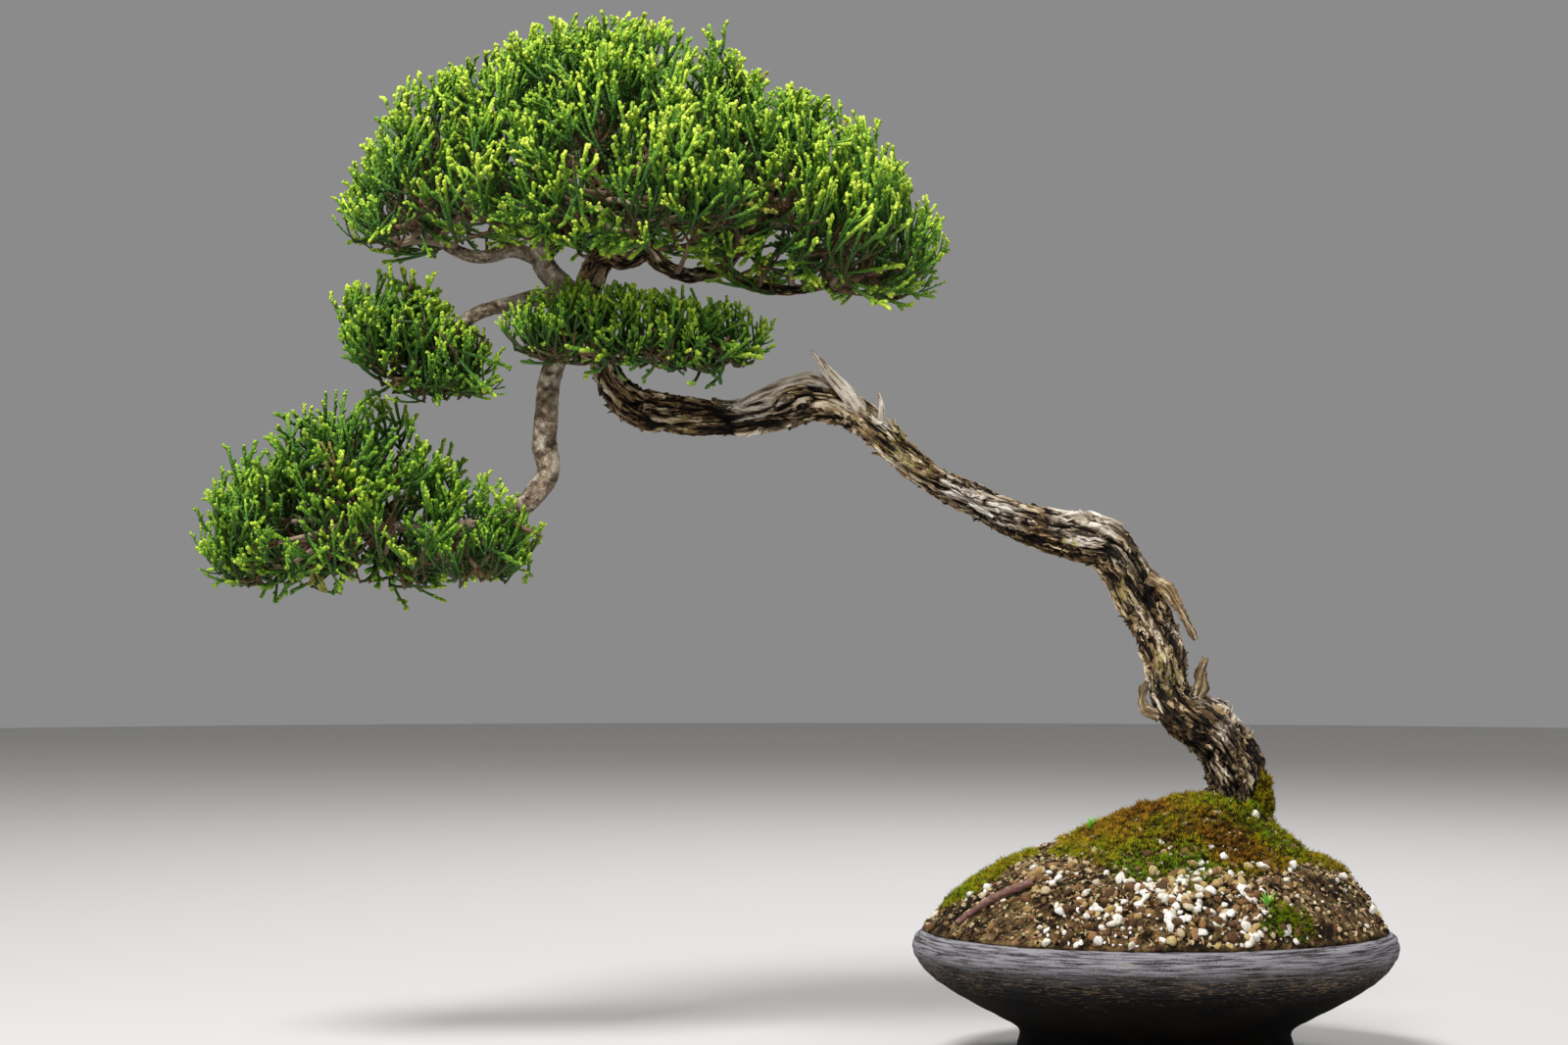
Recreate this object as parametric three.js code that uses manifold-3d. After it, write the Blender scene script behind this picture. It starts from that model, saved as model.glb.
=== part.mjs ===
// A wind-swept juniper bonsai in a low round stoneware pot, in millimetres, +Z up.
// The front of the tree faces -Y. Everything is drawn round the pot's own axis, with the foot
// on z = 0, and the whole group is then moved so that the middle of its box is over the origin.
import * as THREE from "three";
import { mergeVertices } from "three/addons/utils/BufferGeometryUtils.js";
import Module from "manifold-3d";

const wasm = await Module();
wasm.setup();

// ---------- driving dimensions ----------
const GAP = 0.3; // clearance kept where two pieces touch

const POT_RADIUS = 100; // at the widest line
const POT_HEIGHT = 52.5; // to the crest of the rim
const POT_WIDEST_DROP = 6; // from the crest down to the widest line
const POT_RIM_INSET = 5.5; // from the widest radius in to the crest
const RIM_LEDGE = 3.5; // from the crest in to the soil
const POT_WALL = 6.5;
const POT_FLOOR = 7;
const FOOT_RADIUS = 57;
const FOOT_HEIGHT = 10;
const FOOT_WALL = 8;
const FOOT_NECK = 2; // how far the foot narrows under the bowl
const NOTCH_COUNT = 3;
const NOTCH_WIDTH = 24;
const NOTCH_HEIGHT = 7;
const DRAIN_RADIUS = 9;
const POT_SEGMENTS = 40;

const MOUND_RISE = 57; // of the soil's peak above its edge
const MOUND_LEAN = 10; // the peak's offset towards +X
const MOUND_SEGMENTS = 30;
const SOIL_BELOW_CREST = 1.5; // the soil's edge under the crest of the rim

const MOSS_THICKNESS = 2.6;
const STONE_RADIUS = 3.9; // of the largest loose stone

const TREE_REACH = 396; // from the pot's axis out to the tip of the lowest pad
const TREE_RISE = 325; // from the soil's peak up to the top of the crown
const TRUNK_RADIUS = 12.2; // where the trunk leaves the soil
const BRANCH_RADIUS = 5.3; // of the thickest branch
const ROOT_REACH = 36; // of the thick roots, out from the root crown
const FOLIAGE_WIDTH = 120; // of the widest pad, front to back

const MESH_SIZE = 30; // the square of plastic mesh over the drain hole
const MESH_THICKNESS = 1;
const MESH_HOLES = 5; // openings along each side, odd so that the clip passes through the middle row
const MESH_BAR = 1.8;
const CLIP_RADIUS = 0.8; // wire that pins the mesh down

// ---------- solids ----------
/** A closed three.js geometry as a manifold solid. */
function solidOf(geometry) {
  const bare = new THREE.BufferGeometry().setAttribute("position", geometry.getAttribute("position"));
  if (geometry.index) bare.setIndex(geometry.index);
  const merged = mergeVertices(bare, 1e-4);
  return new wasm.Manifold(
    new wasm.Mesh({
      numProp: 3,
      vertProperties: merged.getAttribute("position").array,
      triVerts: new Uint32Array(merged.index.array),
    }),
  );
}

/** A manifold solid as a three.js geometry. */
function geometryOf(solid) {
  const mesh = solid.getMesh();
  const geometry = new THREE.BufferGeometry();
  geometry.setAttribute("position", new THREE.BufferAttribute(new Float32Array(mesh.vertProperties), 3));
  geometry.setIndex(new THREE.BufferAttribute(new Uint32Array(mesh.triVerts), 1));
  geometry.computeVertexNormals();
  return geometry;
}

/** The largest connected body of a solid, without the slivers that a cut can leave. */
function mainBody(solid) {
  return solid.decompose().reduce((best, body) => (body.volume() > best.volume() ? body : best));
}

/** A profile of [radius, height] pairs, turned about Z. */
function turned(profile, segments) {
  const points = profile.map(([radius, height]) => new THREE.Vector2(radius, height));
  return new THREE.LatheGeometry(points, segments).rotateX(Math.PI / 2);
}

/** Smooth interpolation in a list of values at t from 0 to 1. */
function valueAt(values, t) {
  const at = THREE.MathUtils.clamp(t, 0, 1) * (values.length - 1);
  const low = Math.min(Math.floor(at), values.length - 2);
  const share = THREE.MathUtils.smoothstep(at - low, 0, 1);
  return THREE.MathUtils.lerp(values[low], values[low + 1], share);
}

/**
 * A limb: a closed cylinder bent along a route of [x, y, z, radius] points.
 * grow thickens it all over; ridges and depth give it lengthwise lobes that twist along it.
 */
function limb(route, { sides = 8, steps = 14, grow = 0, ridges = 0, depth = 0, twist = 0 } = {}) {
  const curve = new THREE.CatmullRomCurve3(route.map(([x, y, z]) => new THREE.Vector3(x, y, z)));
  const radii = route.map((point) => point[3]);
  const frames = curve.computeFrenetFrames(steps, false);
  const tube = new THREE.CylinderGeometry(1, 1, steps, sides, steps);
  const place = tube.getAttribute("position");
  for (let i = 0; i < place.count; i++) {
    const ring = Math.round(place.getY(i) + steps / 2);
    const share = ring / steps;
    const angle = Math.atan2(place.getZ(i), place.getX(i));
    const lobe = 1 + depth * Math.cos(ridges * angle + twist * share);
    const radius = valueAt(radii, curve.getUtoTmapping(share)) * lobe + grow;
    const end = ring === 0 ? -grow : ring === steps ? grow : 0;
    const point = curve
      .getPointAt(share)
      .addScaledVector(frames.normals[ring], place.getX(i) * radius)
      .addScaledVector(frames.binormals[ring], -place.getZ(i) * radius)
      .addScaledVector(frames.tangents[ring], end);
    place.setXYZ(i, point.x, point.y, point.z);
  }
  return solidOf(tube);
}

/** A lumpy, flat-bottomed cloud: radii are [x, y, up, down] about its centre. */
function cloud(centre, [across, along, up, down], { grow = 0, lumps = 0.06, phase = 0, detail = 16 } = {}) {
  const ball = new THREE.SphereGeometry(1, detail, Math.round(detail * 0.6)).rotateX(Math.PI / 2);
  const place = ball.getAttribute("position");
  const point = new THREE.Vector3();
  for (let i = 0; i < place.count; i++) {
    point.fromBufferAttribute(place, i);
    const turn = Math.hypot(point.x, point.y) < 1e-6 ? 0 : Math.atan2(point.y, point.x);
    const lump = 1 + lumps * Math.sin(3 * turn + phase) * Math.sin(4 * point.z + phase) * (1 - point.z ** 2);
    const height = point.z > 0 ? up : down;
    place.setXYZ(
      i,
      centre[0] + point.x * (across * lump + grow),
      centre[1] + point.y * (along * lump + grow),
      centre[2] + point.z * (height * lump + grow),
    );
  }
  return solidOf(ball);
}

/** A box from its centre and size, turned about Z. */
function block(size, centre, turn = 0) {
  return solidOf(new THREE.BoxGeometry(...size).rotateZ(turn).translate(...centre));
}

// ---------- pot ----------
const rimRadius = POT_RADIUS - POT_RIM_INSET;
const widestHeight = POT_HEIGHT - POT_WIDEST_DROP;
const neckRadius = FOOT_RADIUS - FOOT_NECK;
const floorTop = FOOT_HEIGHT - 1 + POT_FLOOR;
const insideFoot = FOOT_RADIUS - FOOT_WALL;
const undersideHeight = floorTop - POT_FLOOR;

/** The bowl's outer wall from the neck to the crest: a share of the way up gives its radius. */
const outerWall = [
  [0, 0],
  [0.1, 0.09],
  [0.47, 0.36],
  [0.78, 0.64],
  [0.93, 0.82],
  [1, 1],
].map(([out, up]) => [
  THREE.MathUtils.lerp(neckRadius, POT_RADIUS, out),
  THREE.MathUtils.lerp(FOOT_HEIGHT, widestHeight, up),
]);

/** The rounded lip from the widest line over the crest and in to the soil. */
const lipAngles = [0.2, 0.45, 0.72, 1].map((share) => share * Math.PI * 0.5);
const lip = [
  ...lipAngles.map((a) => [rimRadius + POT_RIM_INSET * Math.cos(a), widestHeight + POT_WIDEST_DROP * Math.sin(a)]),
  [rimRadius - RIM_LEDGE * 0.7, POT_HEIGHT - 0.8],
  [rimRadius - RIM_LEDGE, POT_HEIGHT - 3],
];

/** The bowl's inside, from the lip down to the floor, grown inwards by inset. */
function innerWall(inset) {
  return [
    [POT_RADIUS - POT_WALL - 2 - inset, widestHeight - 2 + inset],
    [THREE.MathUtils.lerp(neckRadius, POT_RADIUS, 0.72) - POT_WALL * 0.9 - inset, widestHeight - 14 + inset],
    [THREE.MathUtils.lerp(neckRadius, POT_RADIUS, 0.28) - POT_WALL * 0.9 - inset, floorTop + 5 + inset],
    [neckRadius - POT_WALL - inset, floorTop + inset],
  ];
}

const potProfile = [
  [DRAIN_RADIUS, undersideHeight],
  [insideFoot - 1.5, undersideHeight],
  [insideFoot, undersideHeight - 1.5],
  [insideFoot, 0],
  [FOOT_RADIUS - 1, 0],
  [FOOT_RADIUS, 1],
  ...outerWall,
  ...lip,
  ...innerWall(0),
  [DRAIN_RADIUS, floorTop],
  [DRAIN_RADIUS, undersideHeight],
];

/** A low arch cut through the foot ring, pointing along angle. */
function footNotch(angle) {
  const arch = new THREE.Shape();
  const half = NOTCH_WIDTH / 2;
  arch.moveTo(-half, -1);
  arch.lineTo(half, -1);
  arch.lineTo(half, 0);
  arch.quadraticCurveTo(half * 0.8, NOTCH_HEIGHT, 0, NOTCH_HEIGHT);
  arch.quadraticCurveTo(-half * 0.8, NOTCH_HEIGHT, -half, 0);
  const cut = new THREE.ExtrudeGeometry(arch, { depth: FOOT_WALL + 6, bevelEnabled: false, curveSegments: 5 });
  cut.rotateX(Math.PI / 2); // the arch stands up and runs towards -Y
  cut.translate(0, -(insideFoot - 3), 0);
  return solidOf(cut.rotateZ(angle + Math.PI / 2));
}

function buildPot() {
  let pot = solidOf(turned(potProfile, POT_SEGMENTS));
  for (let i = 0; i < NOTCH_COUNT; i++) {
    pot = pot.subtract(footNotch(-Math.PI / 2 + (i * 2 * Math.PI) / NOTCH_COUNT));
  }
  return pot;
}

// ---------- soil and what lies on it ----------
const soilEdge = POT_HEIGHT - SOIL_BELOW_CREST;
const soilRadius = rimRadius - RIM_LEDGE - GAP;
const soilPeak = soilEdge + MOUND_RISE;

/** The mound's profile: [share of the edge radius, share of the rise], from the edge to the peak. */
const MOUND_PROFILE = [
  [1, 0],
  [0.87, 0.32],
  [0.66, 0.6],
  [0.4, 0.82],
  [0.22, 0.93],
  [0.08, 0.99],
];

/** How far the mound's axis has moved towards +X at a height. */
function leanAt(height) {
  const share = THREE.MathUtils.clamp((height - soilEdge) / MOUND_RISE, 0, 1);
  return MOUND_LEAN * share ** 1.5;
}

/** The mound's height at a share of its edge radius. */
function moundHeight(share) {
  const next = MOUND_PROFILE.findIndex(([radius]) => radius <= share);
  if (next < 1) return next === 0 ? soilEdge : soilEdge + MOUND_RISE;
  const [outer, low] = MOUND_PROFILE[next - 1];
  const [inner, high] = MOUND_PROFILE[next];
  const between = (outer - share) / (outer - inner);
  return soilEdge + MOUND_RISE * THREE.MathUtils.lerp(low, high, between);
}

/** A point on the mound, at a share of the edge radius and an angle from +X, lifted off it. */
function onMound(share, degrees, lift = 0) {
  const angle = THREE.MathUtils.degToRad(degrees);
  const height = moundHeight(share);
  const radius = soilRadius * share;
  return new THREE.Vector3(
    leanAt(height) + (radius + lift * 0.5) * Math.cos(angle),
    (radius + lift * 0.5) * Math.sin(angle),
    height + lift * 0.85,
  );
}

/** The soil's solid, its mound grown by grow, standing on a base profile. */
function mound(grow, base) {
  const top = MOUND_PROFILE.map(([out, up]) => [
    soilRadius * out + grow * 0.6,
    soilEdge + MOUND_RISE * up + grow * 0.85,
  ]);
  const profile = [...base, ...top, [0, soilEdge + MOUND_RISE + grow]];
  const lathe = turned(profile, MOUND_SEGMENTS);
  const place = lathe.getAttribute("position");
  for (let i = 0; i < place.count; i++) {
    place.setX(i, place.getX(i) + leanAt(place.getZ(i)));
  }
  return solidOf(lathe);
}

function buildSoil() {
  const inside = innerWall(GAP).reverse();
  return mound(0, [[0, floorTop + MESH_THICKNESS + 2 * GAP], [MESH_SIZE, floorTop + MESH_THICKNESS + 2 * GAP], ...inside]);
}

/** A plain cone of ground used to cut shells for the moss. */
function ground(grow) {
  return mound(grow, [[0, soilEdge - 3], [soilRadius, soilEdge - 3]]);
}

/** A patch of moss: the part of a shell over the mound inside an outline, in hundredths of the edge radius. */
function mossPatch(outline) {
  const corners = [...outline, outline[0]].map(([x, y]) => new THREE.Vector2(x, y).multiplyScalar(soilRadius / 100));
  const shape = new THREE.Shape(new THREE.SplineCurve(corners).getPoints(outline.length * 2));
  const column = new THREE.ExtrudeGeometry(shape, { depth: MOUND_RISE + 20, bevelEnabled: false });
  column.translate(0, 0, soilEdge + 2);
  return mainBody(ground(MOSS_THICKNESS).subtract(ground(GAP)).intersect(solidOf(column)));
}

const MOSS = {
  moss_crest: [[-38, 9], [-33, -20], [-13, -47], [16, -69], [38, -51], [64, -24], [67, 4], [47, 31], [7, 38], [-22, 31]],
  moss_left: [[-56, 11], [-64, -13], [-82, -24], [-91, -9], [-89, 13], [-73, 27]],
  moss_right: [[73, 16], [70, -2], [80, -13], [90, -2], [86, 18]],
  moss_back: [[-20, 50], [4, 48], [29, 53], [42, 71], [16, 84], [-16, 73]],
  moss_front: [[28, -84], [45, -80], [54, -73], [58, -80], [45, -88], [32, -92]],
};

/** Stones that lie loose on the mound: [share of the edge radius, degrees, share of the largest]. */
const PUMICE = [
  [0.8, -128, 0.84],
  [0.62, -122, 0.8],
  [0.9, -112, 0.78],
  [0.84, -98, 0.86],
  [0.68, -66, 0.84],
  [0.52, -60, 0.76],
];
const AKADAMA = [
  [0.73, -103, 1],
  [0.86, -88, 0.92],
  [0.78, -76, 0.9],
];

/** One stone: an uneven ball, bedded in the soil. */
function stone([share, degrees, size], number) {
  const radius = size * STONE_RADIUS;
  const centre = onMound(share, degrees, radius * 0.5);
  const ball = new THREE.IcosahedronGeometry(radius, 1);
  const place = ball.getAttribute("position");
  const point = new THREE.Vector3();
  for (let i = 0; i < place.count; i++) {
    point.fromBufferAttribute(place, i);
    const dent = 0.94 + 0.1 * Math.sin(point.x * 1.7 + number * 2.1) * Math.cos(point.y * 1.9 + number);
    place.setXYZ(i, point.x * dent, point.y * dent * 0.9, point.z * dent * 0.78);
  }
  return solidOf(ball.rotateZ(number).translate(centre.x, centre.y, centre.z));
}

/** A dead twig lying on the left shoulder of the mound. */
function buildFallenTwig(grow) {
  const low = onMound(0.97, -154, 3.2);
  const high = onMound(0.68, -146, 3.4);
  const middle = low.clone().lerp(high, 0.5).add(new THREE.Vector3(0, 0, 2.2));
  return limb([low, middle, high].map((p, i) => [p.x, p.y, p.z, [0.9, 1.05, 1.2][i]]), { sides: 6, steps: 6, grow });
}

/** A seedling: a few blades that spread from one foot. */
function seedling([share, degrees, height, spread], blades) {
  const foot = onMound(share, degrees, MOSS_THICKNESS + 0.9);
  let plant = null;
  for (let i = 0; i < blades; i++) {
    const turn = (i * 2 * Math.PI) / blades;
    const lean = spread * (0.75 + 0.25 * Math.sin(i * 2.3));
    const blade = limb(
      [
        [foot.x, foot.y, foot.z, 0.55],
        [foot.x + Math.cos(turn) * lean * 0.4, foot.y + Math.sin(turn) * lean * 0.4, foot.z + height * 0.6, 0.45],
        [foot.x + Math.cos(turn) * lean, foot.y + Math.sin(turn) * lean, foot.z + height, 0.2],
      ],
      { sides: 4, steps: 2 },
    );
    plant = plant ? plant.add(blade) : blade;
  }
  return mainBody(plant);
}

// ---------- drainage ----------
const meshPitch = (MESH_SIZE - MESH_BAR) / MESH_HOLES;

function buildMesh() {
  let sheet = block([MESH_SIZE, MESH_SIZE, MESH_THICKNESS], [0, 0, floorTop + GAP + MESH_THICKNESS / 2]);
  const side = meshPitch - MESH_BAR;
  for (let i = 0; i < MESH_HOLES; i++) {
    for (let j = 0; j < MESH_HOLES; j++) {
      const x = (i - (MESH_HOLES - 1) / 2) * meshPitch;
      const y = (j - (MESH_HOLES - 1) / 2) * meshPitch;
      sheet = sheet.subtract(block([side, side, MESH_THICKNESS * 3], [x, y, floorTop + MESH_THICKNESS / 2]));
    }
  }
  return sheet;
}

/** The staple that pins the mesh down: over the mesh, down the drain hole and out under the floor. */
function buildClip(grow) {
  const leg = meshPitch; // each leg goes down through the opening beside the middle one
  const over = floorTop + MESH_THICKNESS + GAP * 2 + CLIP_RADIUS;
  const under = undersideHeight - CLIP_RADIUS - 0.6;
  const foot = DRAIN_RADIUS + 6;
  const half = [[leg * 0.6, over], [leg, over - 0.8], [leg, over - 5], [leg, under + 1], [leg + 1, under], [foot, under]];
  const route = [...half.map(([x, z]) => [-x, z]).reverse(), ...half];
  return limb(route.map(([x, z]) => [x, 0, z, CLIP_RADIUS]), { sides: 5, steps: 32, grow });
}

// ---------- tree ----------
// The tables below hold the tree as it was drawn, from the pot's axis and the foot: these are the
// sizes it was drawn at, and drawn() fits a point to the driving dimensions.
const DRAWN = { reach: 396, rise: 325, peak: 108, trunk: 12.2, branch: 5.3, foliage: 60 };

/** A drawn [x, y, z] fitted to the tree's reach and rise, from the soil's peak. */
function drawn([x, y, z]) {
  return [(x * TREE_REACH) / DRAWN.reach, y, soilPeak + ((z - DRAWN.peak) * TREE_RISE) / DRAWN.rise];
}

/** A drawn route of [x, y, z, radius] points, its radii scaled by thickness. */
function drawnRoute(route, thickness) {
  return route.map(([x, y, z, radius]) => [...drawn([x, y, z]), radius * thickness]);
}

/** The trunk from the root crown, up and out over the pot's side, to the fork: [x, y, z, radius]. */
const TRUNK = [
  [34, 0, 64, 14],
  [32, 0, 84, 14.2],
  [31, 0, 99, 13.4],
  [32, -1, 113, 12.2],
  [27, -3, 126, 12.8],
  [19, -4, 136.5, 12.4],
  [10, -4, 144, 11],
  [6, -2, 153, 9.8],
  [4, 0, 164, 9.6],
  [0, 3, 176, 10],
  [-7, 5, 190, 10.2],
  [-13, 7, 202, 10.4],
  [-20, 7, 210.5, 10.9],
  [-31, 6, 213.5, 10],
  [-45, 4, 217.5, 9],
  [-60, 2, 223, 8.3],
  [-76, -1, 230, 7.8],
  [-92, -3, 239, 7.2],
  [-107, -4, 250, 7.3],
  [-118, -3, 260, 7.8],
  [-129, 0, 267, 8.2],
  [-142, 2, 269, 8.9],
  [-157, 3, 265, 8.3],
  [-173, 3, 263, 7.9],
  [-190, 4, 264, 8.4],
  [-206, 5, 266.5, 8.6],
  [-217, 6, 271.5, 8.1],
  [-224, 7, 280, 7.4],
  [-228, 8, 292, 7.1],
  [-231, 9, 305, 6.6],
  [-235, 8, 315, 5.8],
];

/** Thick roots under the soil: the direction of each, in degrees, from the root crown. */
const ROOT_TURNS = [20, 100, 165, 235, 300];

function rootRoute(degrees, number) {
  const angle = THREE.MathUtils.degToRad(degrees);
  const reach = ROOT_REACH * (1 - 0.1 * (number % 2));
  const [x, y, crown] = drawn([TRUNK[0][0], TRUNK[0][1], 72]);
  const drop = 18 + 3 * (number % 3);
  const along = (share, down, radius) => [
    x + Math.cos(angle) * reach * share,
    y + Math.sin(angle) * reach * share,
    crown - drop * down,
    (radius * TRUNK_RADIUS) / DRAWN.trunk,
  ];
  return [along(0, -0.2, 6), along(0.45, 0.1, 5), along(0.8, 0.55, 3.4), along(1, 1, 1.8)];
}

function buildTrunk(grow) {
  const route = drawnRoute(TRUNK, TRUNK_RADIUS / DRAWN.trunk);
  let trunk = limb(route, { sides: 12, steps: 54, grow, ridges: 3, depth: 0.08, twist: 9 });
  ROOT_TURNS.forEach((degrees, i) => {
    trunk = trunk.add(limb(rootRoute(degrees, i), { sides: 6, steps: 4, grow }));
  });
  return trunk;
}

/** The branches, each before what grows from it: a drawn route, sides, steps and its bark. */
const BRANCHES = {
  fork_left: {
    route: [[-231, 8, 311, 4.4], [-239, 5, 314, 5], [-246, 2, 319, 5.1], [-252, 1, 327, 4.6], [-254, 3, 338, 3.8],
      [-249, 8, 352, 3], [-243, 9, 367, 2.4], [-237, 6, 386, 1.4]],
    sides: 8, steps: 16, bark: "smoothBark",
  },
  fork_right: {
    route: [[-234, 8, 313, 4.2], [-227, 4, 328, 3.8], [-218, 1, 328, 3.6], [-209, -1, 331, 3.4], [-203, -2, 326, 3.2],
      [-192, -1, 322, 3], [-178, 1, 324, 2.8], [-169, 2, 319, 2.6], [-152, 1, 316, 2.2], [-134, -2, 318, 1.6]],
    sides: 7, steps: 20, bark: "bark",
  },
  drop_branch: {
    route: [[-230, 8, 300, 4.2], [-239, 5, 299, 4.6], [-246, 2, 290, 4.6], [-250, 1, 277, 4.4], [-251, 0, 264, 4.8],
      [-252, -1, 252, 5.3], [-250, -2, 241, 5], [-256, -4, 231, 4.4], [-264, -5, 225, 3.6], [-281, -6, 219, 2.9],
      [-301, -8, 217, 2.4], [-327, -8, 222, 1.4]],
    sides: 8, steps: 22, bark: "smoothBark",
  },
  left_branch: {
    route: [[-238, 7, 308, 3.6], [-252, 1, 313, 3.6], [-266, -4, 310, 3.2], [-279, -7, 306, 2.9], [-286, -9, 300, 2.7],
      [-291, -9, 292, 2.4], [-300, -10, 282, 1.4]],
    sides: 7, steps: 13, bark: "smoothBark",
  },
  front_branch: {
    route: [[-227, 7, 296, 3], [-222, -9, 294, 2.8], [-211, -20, 293, 2.4], [-194, -26, 296, 1.4]],
    sides: 6, steps: 8, bark: "bark",
  },
  crown_limb_left: {
    route: [[-252, 1, 328, 3.2], [-264, -3, 332, 3], [-278, -6, 329, 2.7], [-292, -6, 334, 2.1], [-306, -4, 344, 1.2]],
    sides: 6, steps: 9, bark: "smoothBark",
  },
  crown_limb_front: {
    route: [[-250, 2, 332, 3], [-244, -16, 336, 2.7], [-234, -35, 342, 2.2], [-224, -50, 352, 1.3]],
    sides: 6, steps: 7, bark: "bark",
  },
  crown_limb_back: {
    route: [[-238, 9, 316, 3], [-234, 24, 328, 2.7], [-227, 42, 340, 2.2], [-219, 56, 354, 1.3]],
    sides: 6, steps: 7, bark: "bark",
  },
  crown_limb_top: {
    route: [[-209, -1, 331, 2.8], [-208, 2, 344, 2.5], [-203, 4, 360, 2], [-198, 3, 382, 1.2]],
    sides: 6, steps: 7, bark: "bark",
  },
  crown_limb_right: {
    route: [[-180, 1, 323, 2.4], [-172, -3, 333, 2.2], [-162, -7, 346, 1.8], [-154, -9, 362, 1.1]],
    sides: 6, steps: 7, bark: "bark",
  },
};

/** Dead wood and lifted bark that stand off the trunk. */
const DEADWOOD = {
  jin_spike: {
    route: [[-120, -2, 262, 4.6], [-126, -5, 272, 3.6], [-134, -6, 281, 2.7], [-142, -7, 291, 1]],
    sides: 7, steps: 6, ridges: 2, depth: 0.16,
  },
  shari_strand: {
    route: [[-131, 1, 275, 3], [-141, 1, 279.5, 3.3], [-151, 1, 278, 3], [-163, 1, 273, 2.4], [-173, 1, 268, 1.6]],
    sides: 6, steps: 8, ridges: 2, depth: 0.14,
  },
  jin_stub: { route: [[-113, -7, 262, 1.6], [-113, -11, 267, 1.3], [-114, -12, 273, 0.8]], sides: 5, steps: 3 },
  bark_peel_high: {
    route: [[-3, -2, 193, 2], [7, -6, 188, 1.5], [14, -6, 182, 1.4], [17, -6, 171, 1.2]],
    sides: 5, steps: 6,
  },
  bark_peel_low: {
    route: [[15, -7, 146, 2], [18, -9, 152, 1.9], [18, -9, 159, 1.5], [20, -9, 165, 0.9]],
    sides: 5, steps: 5,
  },
  bark_peel_left: {
    route: [[1, -8, 141, 1.6], [-5, -9, 144, 1.6], [-6, -9, 150, 1.4], [-4, -8, 155, 1]],
    sides: 5, steps: 5,
  },
};

/** Moss that climbs the right side of the trunk's foot. */
function buildTrunkMoss(grow) {
  return cloud(drawn([46, -3, 105]), [5, 7, 16, 15], { grow, lumps: 0.12, detail: 10 });
}

/** The pads of foliage, drawn from the crown down: centre and [x, y, up, down] radii. */
const PADS = {
  pad_crown_top: [[-222, 0, 390], [58, 58, 43, 15]],
  pad_crown_left: [[-281, 0, 372], [43, 52, 40, 15]],
  pad_crown_right: [[-160, 0, 362], [47, 54, 41, 16]],
  pad_crown_far_left: [[-307, -3, 347], [33, 42, 30, 14]],
  pad_crown_far_right: [[-123, -2, 336], [35, 46, 32, 21]],
  pad_crown_front: [[-222, -56, 350], [60, 36, 42, 13]],
  pad_crown_back: [[-216, 56, 352], [60, 36, 42, 14]],
  pad_middle_left: [[-235, -28, 300], [29, 24, 24, 16]],
  pad_middle_right: [[-191, -26, 295], [30, 24, 21, 14]],
  pad_left_high: [[-315, -11, 303], [21, 25, 20, 15]],
  pad_left_low: [[-293, -11, 285], [25, 24, 21, 14]],
  pad_low_outer: [[-357, -7, 221], [39, 38, 36, 29]],
  pad_low_inner: [[-299, -5, 214], [46, 36, 34, 22]],
  pad_low_top: [[-332, -2, 248], [34, 30, 27, 10]],
};

/** One pad, its width front to back scaled with the driving foliage width. */
function pad([[x, y, z], [across, along, up, down]], grow, phase) {
  const wide = FOLIAGE_WIDTH / 2 / DRAWN.foliage;
  return cloud(drawn([x, y * wide, z]), [across, along * wide, up, down], { grow, phase, detail: 12 });
}

// ---------- finishes ----------
/** A material from a colour, a roughness and a metalness. */
function finish(color, roughness, metalness = 0) {
  return new THREE.MeshStandardMaterial({ color, roughness, metalness });
}

const FINISHES = {
  stoneware: finish(0x37353a, 0.7),
  soil: finish(0x6b5034, 0.95),
  moss: finish(0x5f6d1c, 0.95),
  pumice: finish(0xd9d3c4, 0.9),
  akadama: finish(0x9a6b3c, 0.9),
  bark: finish(0x6f5a45, 0.9),
  smoothBark: finish(0xa4917a, 0.75),
  deadwood: finish(0xb3a491, 0.8),
  foliage: finish(0x4f8a2a, 0.6),
  seedling: finish(0x67a832, 0.6),
  twig: finish(0x6a4438, 0.7),
  plastic: finish(0x1c1e1c, 0.5),
  wire: finish(0x8d6a50, 0.4, 0.9),
};

// ---------- assembly ----------
const plant = new THREE.Group();
const made = [];

/** True if two solids' boxes meet. */
function near(a, b) {
  const p = a.boundingBox();
  const q = b.boundingBox();
  return [0, 1, 2].every((k) => p.min[k] <= q.max[k] && q.min[k] <= p.max[k]);
}

/** Adds a piece, cut clear of every piece that is already there and that it meets. */
function add(name, material, build) {
  let solid = build(0);
  for (const other of made) {
    if (near(solid, other.grown)) solid = solid.subtract(other.grown);
  }
  const mesh = new THREE.Mesh(geometryOf(mainBody(solid)), material);
  mesh.name = name;
  plant.add(mesh);
  made.push({ name, grown: build(GAP) });
}

add("pot", FINISHES.stoneware, buildPot);
add("drain_mesh", FINISHES.plastic, buildMesh);
add("mesh_clip", FINISHES.wire, buildClip);
add("trunk", FINISHES.bark, buildTrunk);
add("soil", FINISHES.soil, buildSoil);
add("trunk_moss", FINISHES.moss, buildTrunkMoss);
for (const [name, outline] of Object.entries(MOSS)) {
  add(name, FINISHES.moss, () => mossPatch(outline));
}
PUMICE.forEach((place, i) => add(`pumice_${i + 1}`, FINISHES.pumice, () => stone(place, i)));
AKADAMA.forEach((place, i) => add(`akadama_${i + 1}`, FINISHES.akadama, () => stone(place, i + 20)));
add("fallen_twig", FINISHES.twig, buildFallenTwig);
add("seedling_left", FINISHES.seedling, () => seedling([0.36, 172, 5.5, 4.5], 5));
add("seedling_front", FINISHES.seedling, () => seedling([0.9, -64, 6, 5], 5));
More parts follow.
